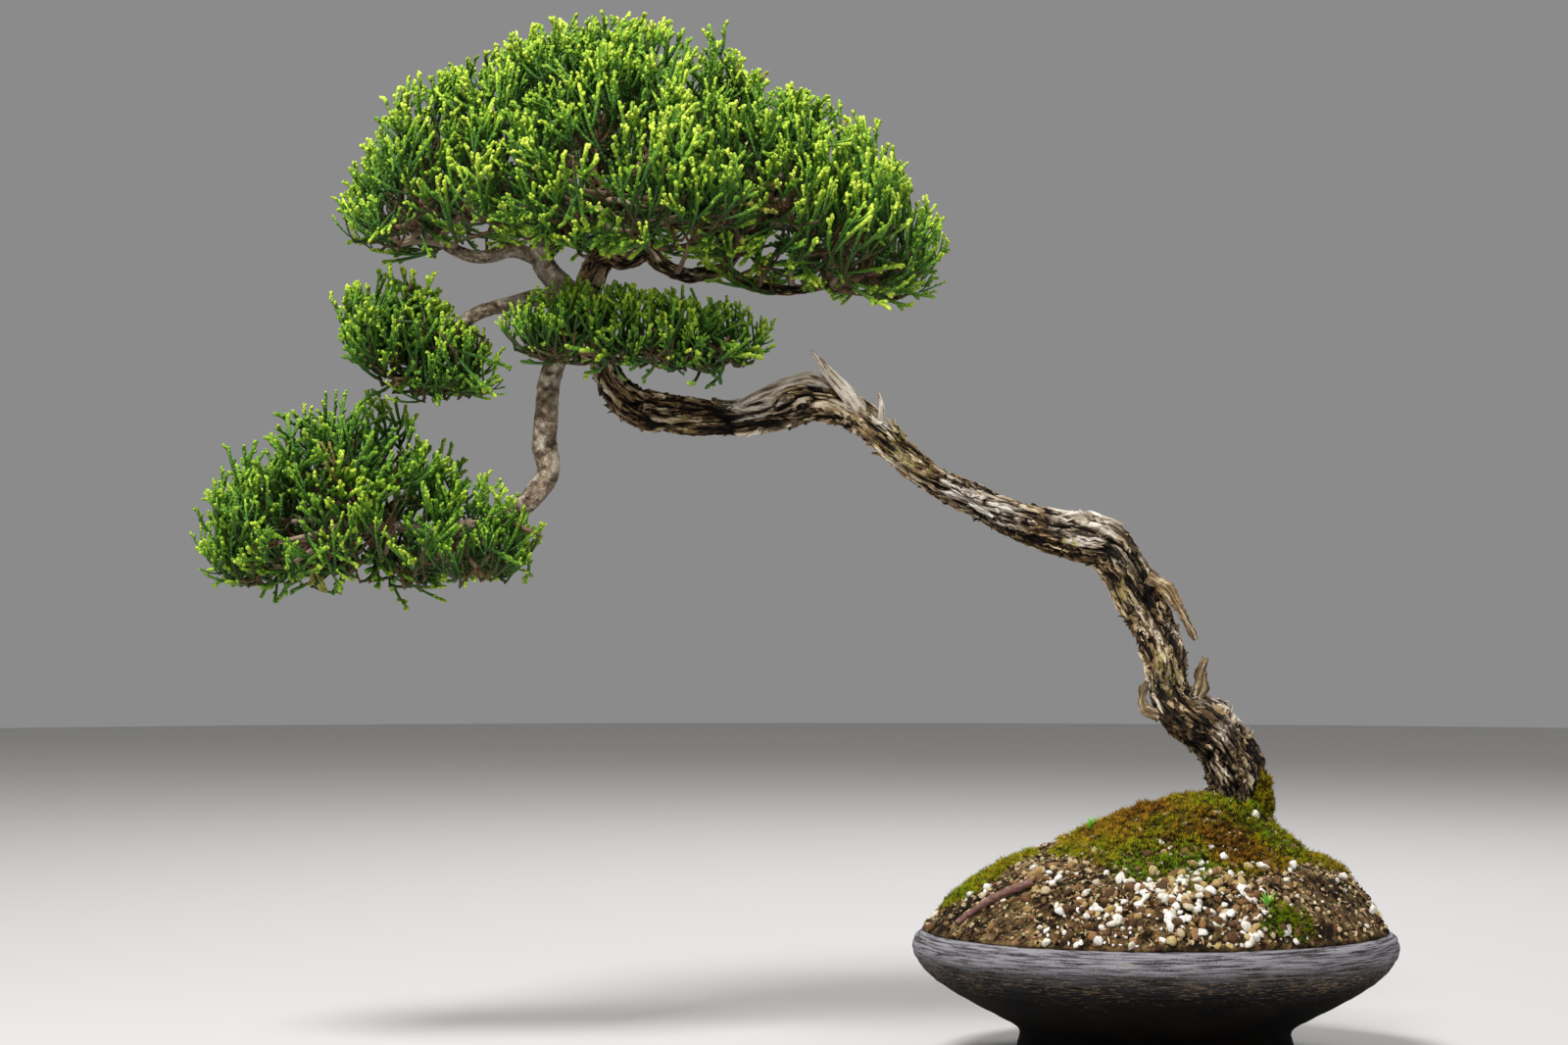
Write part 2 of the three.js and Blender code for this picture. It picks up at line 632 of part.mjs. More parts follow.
for (const [name, { route, bark, ...shape }] of Object.entries(BRANCHES)) {
  add(name, FINISHES[bark], (grow) => limb(drawnRoute(route, BRANCH_RADIUS / DRAWN.branch), { ...shape, grow }));
}
for (const [name, { route, ...shape }] of Object.entries(DEADWOOD)) {
  add(name, FINISHES.deadwood, (grow) => limb(drawnRoute(route, TRUNK_RADIUS / DRAWN.trunk), { ...shape, grow }));
}
Object.entries(PADS).forEach(([name, size], i) => {
  add(name, FINISHES.foliage, (grow) => pad(size, grow, i * 1.3));
});

const box = new THREE.Box3().setFromObject(plant);
const middle = box.getCenter(new THREE.Vector3());
plant.position.set(-middle.x, -middle.y, 0);

const bonsai = new THREE.Group();
bonsai.add(plant);

export default bonsai;
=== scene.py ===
"""A wind-swept juniper bonsai in a low stoneware pot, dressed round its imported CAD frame.

Routes and outlines are in millimetres from the pot's axis and its foot, as the CAD draws them;
everything that is built from them is in metres, in the frame's own place.
"""

import logging
import math
from dataclasses import dataclass, field
from enum import Enum

import bpy
import numpy as np
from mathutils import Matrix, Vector


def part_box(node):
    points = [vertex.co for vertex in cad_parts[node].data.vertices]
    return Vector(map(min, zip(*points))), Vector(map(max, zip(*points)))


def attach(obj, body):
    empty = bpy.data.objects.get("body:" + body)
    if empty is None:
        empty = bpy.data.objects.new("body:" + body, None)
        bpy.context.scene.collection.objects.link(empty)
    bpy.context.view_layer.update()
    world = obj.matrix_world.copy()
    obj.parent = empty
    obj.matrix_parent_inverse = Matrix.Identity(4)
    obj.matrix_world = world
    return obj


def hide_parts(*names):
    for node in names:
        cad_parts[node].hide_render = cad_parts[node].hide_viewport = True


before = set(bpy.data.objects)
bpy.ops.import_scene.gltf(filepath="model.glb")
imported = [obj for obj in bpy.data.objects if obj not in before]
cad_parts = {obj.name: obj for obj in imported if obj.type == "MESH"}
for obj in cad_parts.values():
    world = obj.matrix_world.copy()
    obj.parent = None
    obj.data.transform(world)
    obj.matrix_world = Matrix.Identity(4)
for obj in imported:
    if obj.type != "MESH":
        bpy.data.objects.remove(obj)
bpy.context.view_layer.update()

Array = np.ndarray
Rng = np.random.Generator
Material = bpy.types.Material
Route = list[list[float]]
Pair = tuple[float, float]
Triple = tuple[float, float, float]
Colour = Triple
Ramp = tuple[tuple[float, Colour], ...]
Values = dict[str, Array]

MM = 0.001
UP = np.array([0.0, 0.0, 1.0])
TURN = 2 * math.pi
GOLDEN = math.radians(137.5)

log = logging.getLogger("bonsai")


# ---- the frame's own sizes
def box_of(node: str) -> tuple[Array, Array]:
    """The lowest and highest corner of a CAD node, in metres."""
    low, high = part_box(node)
    return np.array(low), np.array(high)


POT_LOW, POT_HIGH = box_of("pot")
SOIL_LOW, SOIL_HIGH = box_of("soil")
AXIS = np.array([*(POT_LOW[:2] + POT_HIGH[:2]) / 2, POT_LOW[2]])
POT_RADIUS = (POT_HIGH[0] - POT_LOW[0]) / 2
POT_HEIGHT = POT_HIGH[2] - POT_LOW[2]
SOIL_RADIUS = (SOIL_HIGH[1] - SOIL_LOW[1]) / 2


def placed(route: Route | Array) -> Array:
    """Points in millimetres from the pot's axis, as points of the frame in metres."""
    return np.asarray(route, float)[:, :3] * MM + AXIS


# ---- noise
HASH_AXES = np.array([374761393, 668265263, 2147483647])
HASH_SEED = 974634777
HASH_MIX = 1274126177
HASH_TOP = 0xFFFF


def hashed(cell: Array, seed: int) -> Array:
    """A whole number from 0 to HASH_TOP for each cell."""
    key = cell @ HASH_AXES + seed * HASH_SEED
    key = (key ^ (key >> 13)) * HASH_MIX
    return (key ^ (key >> 16)) & HASH_TOP


def signed(cell: Array, seed: int) -> Array:
    """A number from -1 to 1 for each cell."""
    return hashed(cell, seed) / (HASH_TOP / 2) - 1


def lattice(points: Array, seed: int) -> Array:
    """Smooth value noise from -1 to 1.

    Args:
        points: any array whose last axis is x, y, z, in cells of the noise.
        seed: which noise.

    Returns:
        One value for each point.
    """
    cell = np.floor(points).astype(np.int64)
    part = points - cell
    ease = part * part * (3 - 2 * part)
    total = np.zeros(points.shape[:-1])
    for corner in range(8):
        step = np.array([corner & 1, (corner >> 1) & 1, corner >> 2])
        weight = np.prod(np.where(step == 1, ease, 1 - ease), axis=-1)
        total += weight * signed(cell + step, seed)
    return total


def plates(points: Array, seed: int) -> tuple[Array, Array, Array]:
    """Cells about scattered seeds, as bark breaks into plates.

    Args:
        points: any array whose last axis is x, y, z, in plates.
        seed: which pattern.

    Returns:
        For each point, how far its plate's edge is, its plate's own value from -1 to 1, and its
        place along z in the plate.
    """
    cell = np.floor(points).astype(np.int64)
    nearest = np.full(points.shape[:-1], 9.0)
    second = nearest.copy()
    own = np.zeros(points.shape[:-1])
    along = np.zeros(points.shape[:-1])
    for number in range(27):
        step = np.array([number % 3, number // 3 % 3, number // 9]) - 1
        here = cell + step
        spot = here + np.stack([hashed(here, seed + k) for k in range(3)], axis=-1) / (HASH_TOP + 1)
        off = points - spot
        distance = np.linalg.norm(off, axis=-1)
        closer = distance < nearest
        second = np.where(closer, nearest, np.minimum(second, distance))
        own = np.where(closer, signed(here, seed + 3), own)
        along = np.where(closer, off[..., 2], along)
        nearest = np.where(closer, distance, nearest)
    return second - nearest, own, along


def fractal(points: Array, seed: int, octaves: int = 3) -> Array:
    """Several octaves of lattice noise, each half as strong and twice as fine."""
    total = np.zeros(points.shape[:-1])
    for octave in range(octaves):
        total += lattice(points * 2**octave, seed + octave) * 0.5**octave
    return total / (2 - 0.5 ** (octaves - 1))


def flat_noise(x: Array, y: Array, per_metre: float, seed: int, octaves: int = 3) -> Array:
    """Fractal noise over a level plane."""
    return fractal(np.stack([x, y, x * 0], axis=-1) * per_metre, seed, octaves)


def bump(value: Array, centre: float, width: float) -> Array:
    """A bell of height 1 about centre."""
    return np.exp(-(((value - centre) / width) ** 2))


def ramp(value: Array, low: float, high: float) -> Array:
    """0 below low, 1 above high, smooth between."""
    share = np.clip((value - low) / (high - low), 0, 1)
    return share * share * (3 - 2 * share)


# ---- directions and rings
def unit(ways: Array) -> Array:
    """Directions, each scaled to length 1."""
    return ways / np.linalg.norm(ways, axis=-1, keepdims=True)


def round_angles(sides: int) -> Array:
    """Evenly spaced angles round one turn."""
    return np.linspace(0, TURN, sides, endpoint=False)


def on_ring(angle: Array, height: Array | float = 0.0, radius: float = 1.0) -> Array:
    """Points at angles round the z axis."""
    return np.stack([np.cos(angle) * radius, np.sin(angle) * radius, angle * 0 + height], axis=-1)


def tube_grid(along: Array, sides: int) -> tuple[Array, Array]:
    """What is given along a tube, and the angle round it, at each place of its skin."""
    return np.repeat(along[:, None], sides, axis=1), np.repeat(round_angles(sides)[None], len(along), axis=0)


# ---- meshes
@dataclass
class Shape:
    """Vertices in metres, faces, and a value per vertex for each named attribute."""

    verts: Array
    faces: list[Array]
    values: Values = field(default_factory=dict)

    def made(self, name: str, smooth: bool = True) -> bpy.types.Object:
        """The shape as a linked mesh object at the origin."""
        mesh = bpy.data.meshes.new(name)
        groups = [np.asarray(group, np.int32) for group in self.faces if len(group)]
        corners = np.concatenate([group.ravel() for group in groups])
        widths = np.concatenate([np.full(len(group), group.shape[1], np.int32) for group in groups])
        mesh.vertices.add(len(self.verts))
        mesh.vertices.foreach_set("co", self.verts.astype(np.float32).ravel())
        mesh.loops.add(len(corners))
        mesh.loops.foreach_set("vertex_index", corners)
        mesh.polygons.add(len(widths))
        starts = np.concatenate([[0], np.cumsum(widths)[:-1]])
        mesh.polygons.foreach_set("loop_start", starts.astype(np.int32))
        mesh.polygons.foreach_set("use_smooth", np.full(len(widths), smooth))
        for key, values in self.values.items():
            kind, member = ("FLOAT", "value") if values.ndim == 1 else ("FLOAT_VECTOR", "vector")
            attribute = mesh.attributes.new(key, kind, "POINT")
            attribute.data.foreach_set(member, values.astype(np.float32).ravel())
        mesh.update()
        mesh.validate()
        obj = bpy.data.objects.new(name, mesh)
        bpy.context.collection.objects.link(obj)
        return obj


def joined(shapes: list[Shape]) -> Shape:
    """Many shapes as one."""
    faces: dict[int, list[Array]] = {}
    start = 0
    for shape in shapes:
        for group in shape.faces:
            if len(group):
                faces.setdefault(group.shape[1], []).append(group + start)
        start += len(shape.verts)
    return Shape(
        np.concatenate([shape.verts for shape in shapes]),
        [np.concatenate(groups) for groups in faces.values()],
        {key: np.concatenate([shape.values[key] for shape in shapes]) for key in shapes[0].values},
    )


def grid_faces(rows: int, columns: int, closed: bool = True) -> Array:
    """The quads of a grid of vertices, its columns closed into a ring if asked."""
    row = np.arange(rows - 1)[:, None]
    column = np.arange(columns if closed else columns - 1)[None, :]
    after = (column + 1) % columns
    here, above = row * columns, (row + 1) * columns
    return np.stack([here + column, here + after, above + after, above + column], axis=-1).reshape(-1, 4)


def capped_each(rings: Array, values: Values) -> Shape:
    """Closed tubes from their rings.

    Args:
        rings: vertices as [tube, ring, place in the ring, xyz].
        values: attributes as [tube, ring, place in the ring], or with three numbers at each place.

    Returns:
        The tubes, each with a fan over each end.
    """
    tubes, count, sides = rings.shape[:3]

    def flat(value: Array) -> Array:
        """One attribute, or the vertices, in the mesh's order: each tube's rings, then its two tips."""
        rest = value.shape[3:]
        body = value.reshape(tubes, count * sides, *rest)
        tips = value[:, :1].mean(2), value[:, -1:].mean(2)
        return np.concatenate([body, *tips], axis=1).reshape(-1, *rest)

    here = np.arange(sides)
    after = (here + 1) % sides
    last = (count - 1) * sides
    first_fan = np.stack([np.full(sides, count * sides), after, here], axis=1)
    last_fan = np.stack([np.full(sides, count * sides + 1), last + here, last + after], axis=1)
    start = np.arange(tubes)[:, None, None] * (count * sides + 2)
    faces = [(group[None] + start).reshape(-1, group.shape[1])
             for group in (grid_faces(count, sides), np.concatenate([first_fan, last_fan]))]
    return Shape(flat(rings), faces, {key: flat(value) for key, value in values.items()})


def capped(rings: Array, values: Values | None = None) -> Shape:
    """One closed tube from its rings, given as [ring, place in the ring, xyz]."""
    return capped_each(rings[None], {key: value[None] for key, value in (values or {}).items()})


@dataclass
class Path:
    """A smooth line in space with a radius and a frame at each step."""

    points: Array
    radii: Array
    normals: Array
    binormals: Array
    along: Array

    @classmethod
    def through(cls, points: Array, radii: Array, steps: int) -> "Path":
        """A path of even steps on a spline through points.

        Args:
            points: the points, in metres.
            radii: the radius at each point, in metres.
            steps: how many points the path gets.

        Returns:
            The path, with frames carried along it without twisting.
        """
        padded = np.concatenate([[2 * points[0] - points[1]], points, [2 * points[-1] - points[-2]]])
        share = np.linspace(0, 1, 12, endpoint=False)[:, None]
        dense = []
        for a, b, c, d in zip(padded, padded[1:], padded[2:], padded[3:]):
            square = (2 * a - 5 * b + 4 * c - d) * share**2
            cube = (3 * b - a - 3 * c + d) * share**3
            dense.append(0.5 * (2 * b + (c - a) * share + square + cube))
        line = np.concatenate([*dense, points[-1:]])
        length = np.concatenate([[0], np.cumsum(np.linalg.norm(np.diff(line, axis=0), axis=1))])
        along = np.linspace(0, length[-1], steps)
        even = np.stack([np.interp(along, length, line[:, k]) for k in range(3)], axis=1)
        knots = np.arange(len(points))
        at = np.interp(along, length, np.linspace(0, len(points) - 1, len(line)))
        tangents = unit(np.gradient(even, axis=0))
        normals = np.empty_like(even)
        side = np.cross(tangents[0], [0.0, 1.0, 0.0])
        if np.linalg.norm(side) < 0.2:
            side = np.cross(tangents[0], [1.0, 0.0, 0.0])
        for i, tangent in enumerate(tangents):
            side = side - tangent * (side @ tangent)
            side /= np.linalg.norm(side)
            normals[i] = side
        return cls(even, np.interp(at, knots, radii), normals, np.cross(tangents, normals), along)

    @classmethod
    def drawn(cls, route: Route, steps: int) -> "Path":
        """A path through a drawn route of [x, y, z, radius] rows."""
        return cls.through(placed(route), np.array(route)[:, 3] * MM, steps)

    def rings(self, reach: Array, angles: Array) -> Array:
        """Rings at the given radii, as [step, angle, xyz]."""
        level = self.normals[:, None] * np.cos(angles)[..., None]
        upright = self.binormals[:, None] * np.sin(angles)[..., None]
        return self.points[:, None] + (level + upright) * reach[..., None]

    def at(self, share: Array) -> tuple[Array, Array, Array, Array]:
        """Points, normals, binormals and radii at shares of the length."""
        place = share * (len(self.points) - 1)
        steps = np.arange(len(self.points))

        def read(rows: Array) -> Array:
            """The rows at each place."""
            return np.stack([np.interp(place, steps, rows[:, k]) for k in range(rows.shape[1])], axis=-1)

        radii = np.interp(place, steps, self.radii)
        return read(self.points), read(self.normals), read(self.binormals), radii


def cord(path: Path, sides: int, values: Values | None = None) -> Shape:
    """A plain round tube along a path, its attributes given per step."""
    spread = {key: tube_grid(value, sides)[0] for key, value in (values or {}).items()}
    return capped(path.rings(*tube_grid(path.radii, sides)), spread)


def facing(directions: Array, spins: Array) -> Array:
    """Rotations that take +Z to each direction, after a spin about it."""
    third = unit(directions)
    helper = np.where(np.abs(third[:, 2:]) > 0.95, [[1.0, 0.0, 0.0]], [[0.0, 0.0, 1.0]])
    first = unit(np.cross(helper, third))
    second = np.cross(third, first)
    cosine, sine = np.cos(spins)[:, None], np.sin(spins)[:, None]
    return np.stack([first * cosine + second * sine, second * cosine - first * sine, third], axis=2)


def scattered(kinds: list[Shape], pick: Array, spots: Array, turns: Array, sizes: Array,
              values: Values) -> Shape:
    """Copies of a few shapes, placed and joined.

    Args:
        kinds: the shapes.
        pick: which shape each copy is.
        spots: where each copy's origin goes.
        turns: each copy's rotation matrix.
        sizes: each copy's size, a number or one for each axis.
        values: one value per copy for each attribute.

    Returns:
        All copies as one shape; attributes that a kind has already are kept.
    """
    parts = []
    sizes = sizes[:, None] if sizes.ndim == 1 else sizes
    for number, kind in enumerate(kinds):
        mine = np.flatnonzero(pick == number)
        if not len(mine):
            continue
        local = kind.verts[None] * sizes[mine][:, None, :]
        verts = np.einsum("nij,nvj->nvi", turns[mine], local) + spots[mine][:, None]
        start = np.arange(len(mine))[:, None, None] * len(kind.verts)
        faces = [(group[None] + start).reshape(-1, group.shape[1]) for group in kind.faces]
        spread = {key: np.tile(value, len(mine)) for key, value in kind.values.items()}
        spread |= {key: np.repeat(value[mine], len(kind.verts)) for key, value in values.items()}
        parts.append(Shape(verts.reshape(-1, 3), faces, spread))
    return joined(parts)


def select_only(obj: bpy.types.Object) -> None:
    """Leaves one object selected and active."""
    bpy.ops.object.select_all(action="DESELECT")
    obj.select_set(True)
    bpy.context.view_layer.objects.active = obj


# ---- shader maths
class Wire:
    """A node's output that Python arithmetic can be written on."""

    def __init__(self, graph: "Graph", socket: bpy.types.NodeSocket) -> None:
        """Wraps a socket of a graph."""
        self.graph = graph
        self.socket = socket

    def _math(self, operation: str, first: object, second: object) -> "Wire":
        """One Math node."""
        return self.graph.node("ShaderNodeMath", {"operation": operation}, {0: first, 1: second})

    def __add__(self, other: object) -> "Wire":
        """Sum."""
        return self._math("ADD", self, other)

    __radd__ = __add__

    def __sub__(self, other: object) -> "Wire":
        """Difference."""
        return self._math("SUBTRACT", self, other)

    def __rsub__(self, other: object) -> "Wire":
        """Difference, reflected."""
        return self._math("SUBTRACT", other, self)

    def __mul__(self, other: object) -> "Wire":
        """Product."""
        return self._math("MULTIPLY", self, other)

    __rmul__ = __mul__

    def clamped(self) -> "Wire":
        """The value held between 0 and 1."""
        return self.graph.node("ShaderNodeClamp", {}, {0: self})


class Graph:
    """A material's node tree, built by calls that return wires."""

    def __init__(self, name: str) -> None:
        """Starts an empty material with its output and surface shader."""
        self.material = bpy.data.materials.new(name)
        self.material.use_nodes = True
        self.tree = self.material.node_tree
        self.tree.nodes.clear()
        self.surface = self.tree.nodes.new("ShaderNodeBsdfPrincipled")
        output = self.tree.nodes.new("ShaderNodeOutputMaterial")
        self.tree.links.new(self.surface.outputs[0], output.inputs[0])
        self.place = self.node("ShaderNodeTexCoord", {}, {}, "Object")

    def node(self, kind: str, settings: dict[str, object], inputs: dict[int | str, object],
             output: int | str = 0) -> Wire:
        """Adds a node.

        Args:
            kind: the node's type.
            settings: its properties, set first; "stops" sets a colour ramp's (position, colour) pairs.
            inputs: a value or a wire for each socket.
            output: which output to return.

        Returns:
            The output as a wire.
        """
        node = self.tree.nodes.new(kind)
        for key, value in settings.items():
            if key == "stops":
                self._set_stops(node.color_ramp, value)
            else:
                setattr(node, key, value)
        for key, value in inputs.items():
            self.feed(node.inputs[key], value)
        return Wire(self, node.outputs[output])

    def _set_stops(self, colours: bpy.types.ColorRamp, stops: Ramp) -> None:
        """Replaces a ramp's stops."""
        while len(colours.elements) < len(stops):
            colours.elements.new(1.0)
        for element, (position, colour) in zip(colours.elements, stops):
            element.position = position
            element.color = (*colour, 1.0)

    def feed(self, socket: bpy.types.NodeSocket, value: object) -> None:
        """Links a wire to a socket, or sets the socket's own value."""
        if isinstance(value, Wire):
            self.tree.links.new(value.socket, socket)
        elif isinstance(value, tuple) and len(value) == 3 and socket.type == "RGBA":
            socket.default_value = (*value, 1.0)
        else:
            socket.default_value = value

    def value(self, name: str) -> Wire:
        """A float attribute of the mesh."""
        return self.node("ShaderNodeAttribute", {"attribute_name": name}, {}, "Fac")

    def noise(self, per_metre: float, detail: float = 3, roughness: float = 0.55,
              place: Wire | None = None) -> Wire:
        """Noise about 0.5 on the object's own place, or on the place given."""
        return self.node("ShaderNodeTexNoise", {}, {
            "Vector": place or self.place, "Scale": per_metre, "Detail": detail, "Roughness": roughness,
        })

    def stretched(self, around: float) -> Wire:
        """The object's place, drawn out level so that a pattern on it runs round the axis."""
        scale = (around, around, 1.0)
        return self.node("ShaderNodeMapping", {}, {"Vector": self.place, "Scale": scale})

    def cells(self, per_metre: float, output: str = "Distance") -> Wire:
        """Cells on the object's own place."""
        return self.node("ShaderNodeTexVoronoi", {}, {"Vector": self.place, "Scale": per_metre}, output)

    def colours(self, along: Wire, stops: Ramp) -> Wire:
        """A colour ramp read at a value."""
        return self.node("ShaderNodeValToRGB", {"stops": stops}, {0: along}, "Color")

    def blend(self, amount: object, first: object, second: object, how: str = "MIX") -> Wire:
        """Mixes two colours."""
        kind = {"data_type": "RGBA", "blend_type": how}
        return self.node("ShaderNodeMix", kind, {0: amount, 6: first, 7: second}, 2)

    def step(self, along: Wire, low: float, high: float) -> Wire:
        """0 below low and 1 above high, smooth between."""
        inputs = {"Value": along, "From Min": low, "From Max": high}
        return self.node("ShaderNodeMapRange", {"interpolation_type": "SMOOTHSTEP"}, inputs)

    def finish(self, colour: object, roughness: object, height: Wire | None = None, depth: float = 0.0003,
               specular: float = 0.5, metallic: float = 0.0) -> Material:
        """Feeds the surface shader.

        Args:
            colour: base colour.
            roughness: roughness.
            height: relief from 0 to 1, or none.
            depth: how deep the relief is, in metres.
            specular: specular level, the same all over.
            metallic: metallic, the same all over.

        Returns:
            The material.
        """
        self.feed(self.surface.inputs["Base Color"], colour)
        self.feed(self.surface.inputs["Roughness"], roughness)
        if height is not None:
            relief = {"Strength": 1.0, "Distance": depth, "Height": height}
            self.feed(self.surface.inputs["Normal"], self.node("ShaderNodeBump", {}, relief, "Normal"))
        self.surface.inputs["Specular IOR Level"].default_value = specular
        self.surface.inputs["Metallic"].default_value = metallic
        return self.material


class Slot(Enum):
    """The record's material slots that new pieces belong to."""

    STONEWARE = "stoneware"
    SOIL = "soil"
    MOSS = "moss"
    PUMICE = "pumice"
    AKADAMA = "akadama"
    BARK = "bark"
    SMOOTH_BARK = "smooth_bark"
    DEADWOOD = "deadwood"
    FOLIAGE = "foliage"
    SEEDLING = "seedling"
    TWIG = "twig"


class Finish:
    """A finish that makes its material once."""

    def graph(self) -> Graph:
        """An empty graph named for the finish."""
        return Graph(type(self).__name__)

    def material(self) -> Material:
        """The finish's material."""
        raise NotImplementedError


@dataclass(frozen=True)
class Stoneware(Finish):
    """Dark fired clay, made near black as painted shade, dashed with tan where it was turned, the dashes
    thicker on the shoulder as painted light, under a paler, blue-grey lip.
    """

    # body and clouded: the clay's own dark brown, made near black as painted shade.
    body: Colour = (0.0022, 0.0018, 0.0016)
    clouded: Colour = (0.008, 0.006, 0.004)
    tan: Colour = (0.26, 0.175, 0.095)
    lip: Colour = (0.25, 0.24, 0.262)
    lip_groove: Colour = (0.034, 0.031, 0.034)
    lip_speck: Colour = (0.34, 0.325, 0.32)
    lip_rust: Colour = (0.34, 0.25, 0.15)
    pit: Colour = (0.008, 0.007, 0.007)

    def material(self) -> Material:
        """Fine lines and dashes that run round the pot."""
        g = self.graph()
        lip = g.value("lip")
        lines = g.noise(1500, 3, 0.65, g.stretched(0.035))
        dashes = g.noise(2000, 3, 0.65, g.stretched(0.11))
        cloud = g.noise(38, 4)
        speckle = g.noise(1900, 2, 0.6)
        pits = g.step(g.cells(650), 0.06, 0.2)
        clay = g.blend(g.step(cloud, 0.35, 0.7) * 0.6, self.body, self.clouded)
        # The tan dashes thicken in a band on the shoulder, painted light on the upper body, and in a weaker
        # band at the foot.
        wear = g.value("wear")
        dashed = dashes + (speckle - 0.5) * 0.35 + (cloud - 0.5) * 0.25 + wear * 0.10
        amount = g.step(dashed, 0.6, 0.74)
        clay = g.blend((amount * (0.04 + wear * 0.62)).clamped(), clay, self.tan)
        rubbed = g.blend(g.step(lines, 0.38, 0.58), self.lip_groove, self.lip)
        rubbed = g.blend(g.step(speckle, 0.56, 0.7) * 0.6, rubbed, self.lip_speck)
        rust = g.step(dashes + (cloud - 0.5) * 0.6, 0.66, 0.76)
        rubbed = g.blend(rust * 0.55, rubbed, self.lip_rust)
        colour = g.blend((lip + (lines + speckle - 1.0) * 0.7 * lip).clamped(), clay, rubbed)
        colour = g.blend((1 - pits) * 0.8, colour, self.pit)
        rough = (0.74 + speckle * 0.25 - lip * 0.12).clamped()
        relief = lines * 0.7 + speckle * 0.35 + pits * 0.4
        return g.finish(colour, rough, relief, 0.0004, specular=0.08)


@dataclass(frozen=True)
class Earth(Finish):
    """Bare soil: dark and mid browns with straw-coloured crumbs."""

    browns: Ramp = (
        (0.28, (0.014, 0.008, 0.004)), (0.42, (0.142, 0.086, 0.034)), (0.55, (0.39, 0.255, 0.108)),
        (0.8, (0.66, 0.51, 0.29)),
    )
    usual: float = 0.37

    def material(self) -> Material:
        """Crumbs by cell, patches by noise, and each grain's own shade; the heap's skin under the crumbs is
        set darker, as painted shade between them.
        """
        g = self.graph()
        patch = g.noise(40, 4)
        crumb = g.noise(900, 5, 0.75)
        bit = g.cells(700, "Color")
        shade = (patch * 0.35 + crumb * 0.5 + (g.value("vary") - self.usual) * 1.15).clamped()
        colour = g.blend(0.22, g.colours(shade, self.browns), bit, "SOFT_LIGHT")
        return g.finish(colour, 0.94, crumb + g.cells(650) * 0.6, 0.0012, specular=0.1)


@dataclass(frozen=True)
class Grain(Finish):
    """A porous stone grain with a shade of its own."""

    stops: Ramp
    stain: Colour
    label: str

    def material(self) -> Material:
        """Shade by grain, stained in patches and pitted."""
        g = Graph(self.label)
        vary = g.value("vary")
        patch = g.noise(420, 3)
        pits = g.step(g.cells(1500), 0.1, 0.34)
        colour = g.colours((vary * 0.9 + (patch - 0.5) * 0.3).clamped(), self.stops)
        colour = g.blend(g.step(patch, 0.5, 0.7) * 0.45, colour, self.stain)
        colour = g.blend((1 - pits) * 0.8, colour, self.stain)
        relief = pits * 0.7 + g.noise(2600, 2) * 0.5
        return g.finish(colour, 0.9, relief, 0.0004, specular=0.2)


PUMICE = Grain(
    ((0.05, (0.5, 0.39, 0.235)), (0.2, (0.7, 0.64, 0.53)), (0.75, (0.88, 0.87, 0.83))),
    (0.4, 0.31, 0.19), "Pumice",
)
AKADAMA = Grain(
    ((0.05, (0.07, 0.035, 0.017)), (0.35, (0.185, 0.092, 0.036)), (0.65, (0.31, 0.175, 0.072)),
     (0.82, (0.48, 0.345, 0.13)), (0.97, (0.6, 0.5, 0.29))),
    (0.095, 0.055, 0.026), "Akadama",
)


@dataclass(frozen=True)
class Moss(Finish):
    """Moss from rust orange through mustard to bright green, with painted shade between its leaves and in
    pockets, and painted highlights in patches.
    """

    greens: Ramp = (
        (0.04, (0.21, 0.09, 0.016)), (0.18, (0.6, 0.25, 0.014)), (0.34, (0.56, 0.34, 0.014)),
        (0.5, (0.54, 0.45, 0.01)), (0.68, (0.38, 0.48, 0.008)), (0.92, (0.2, 0.44, 0.01)),
    )
    # Painted shade laid in dark pockets of the moss.
    painted_pocket_shade: Colour = (0.03, 0.019, 0.003)
    # A gain over 1 that brightens patches of the moss: painted highlights.
    lift: Colour = (1.6, 1.5, 1.6)
    # Painted shade at each leaf's foot and over the cushion under the leaves.
    shade: Colour = (0.016, 0.013, 0.004)

    def material(self) -> Material:
        """Colour by patch and by tuft, with each leaf's tip lighter and its foot and the cushion under it
        darkened as painted shade; painted shade in pockets and painted highlights in patches.
        """
        g = self.graph()
        patch = g.noise(70, 3)
        tone = g.value("green") + (patch - 0.5) * 0.5 + (g.noise(520, 2) - 0.5) * 0.6
        colour = g.colours(tone.clamped(), self.greens)
        # Dark pockets from noise: painted shade.
        painted_shade_pockets = 1 - g.step(g.noise(330, 3, 0.65), 0.41, 0.56)
        colour = g.blend(painted_shade_pockets * 0.92, colour, self.painted_pocket_shade)
        # Bright patches from noise, multiplied by the gain above: painted highlights.
        bright = g.step(g.noise(620, 2, 0.6), 0.48, 0.6)
        colour = g.blend(bright * 0.9, colour, self.lift, "MULTIPLY")
        # Darker towards each leaf's foot and over the cushion: painted shade under the leaves.
        colour = g.blend((1 - g.value("tip")) * 0.92, colour, self.shade)
        return g.finish(colour, 0.88, g.noise(1500, 3, 0.7), 0.0008, specular=0.1)


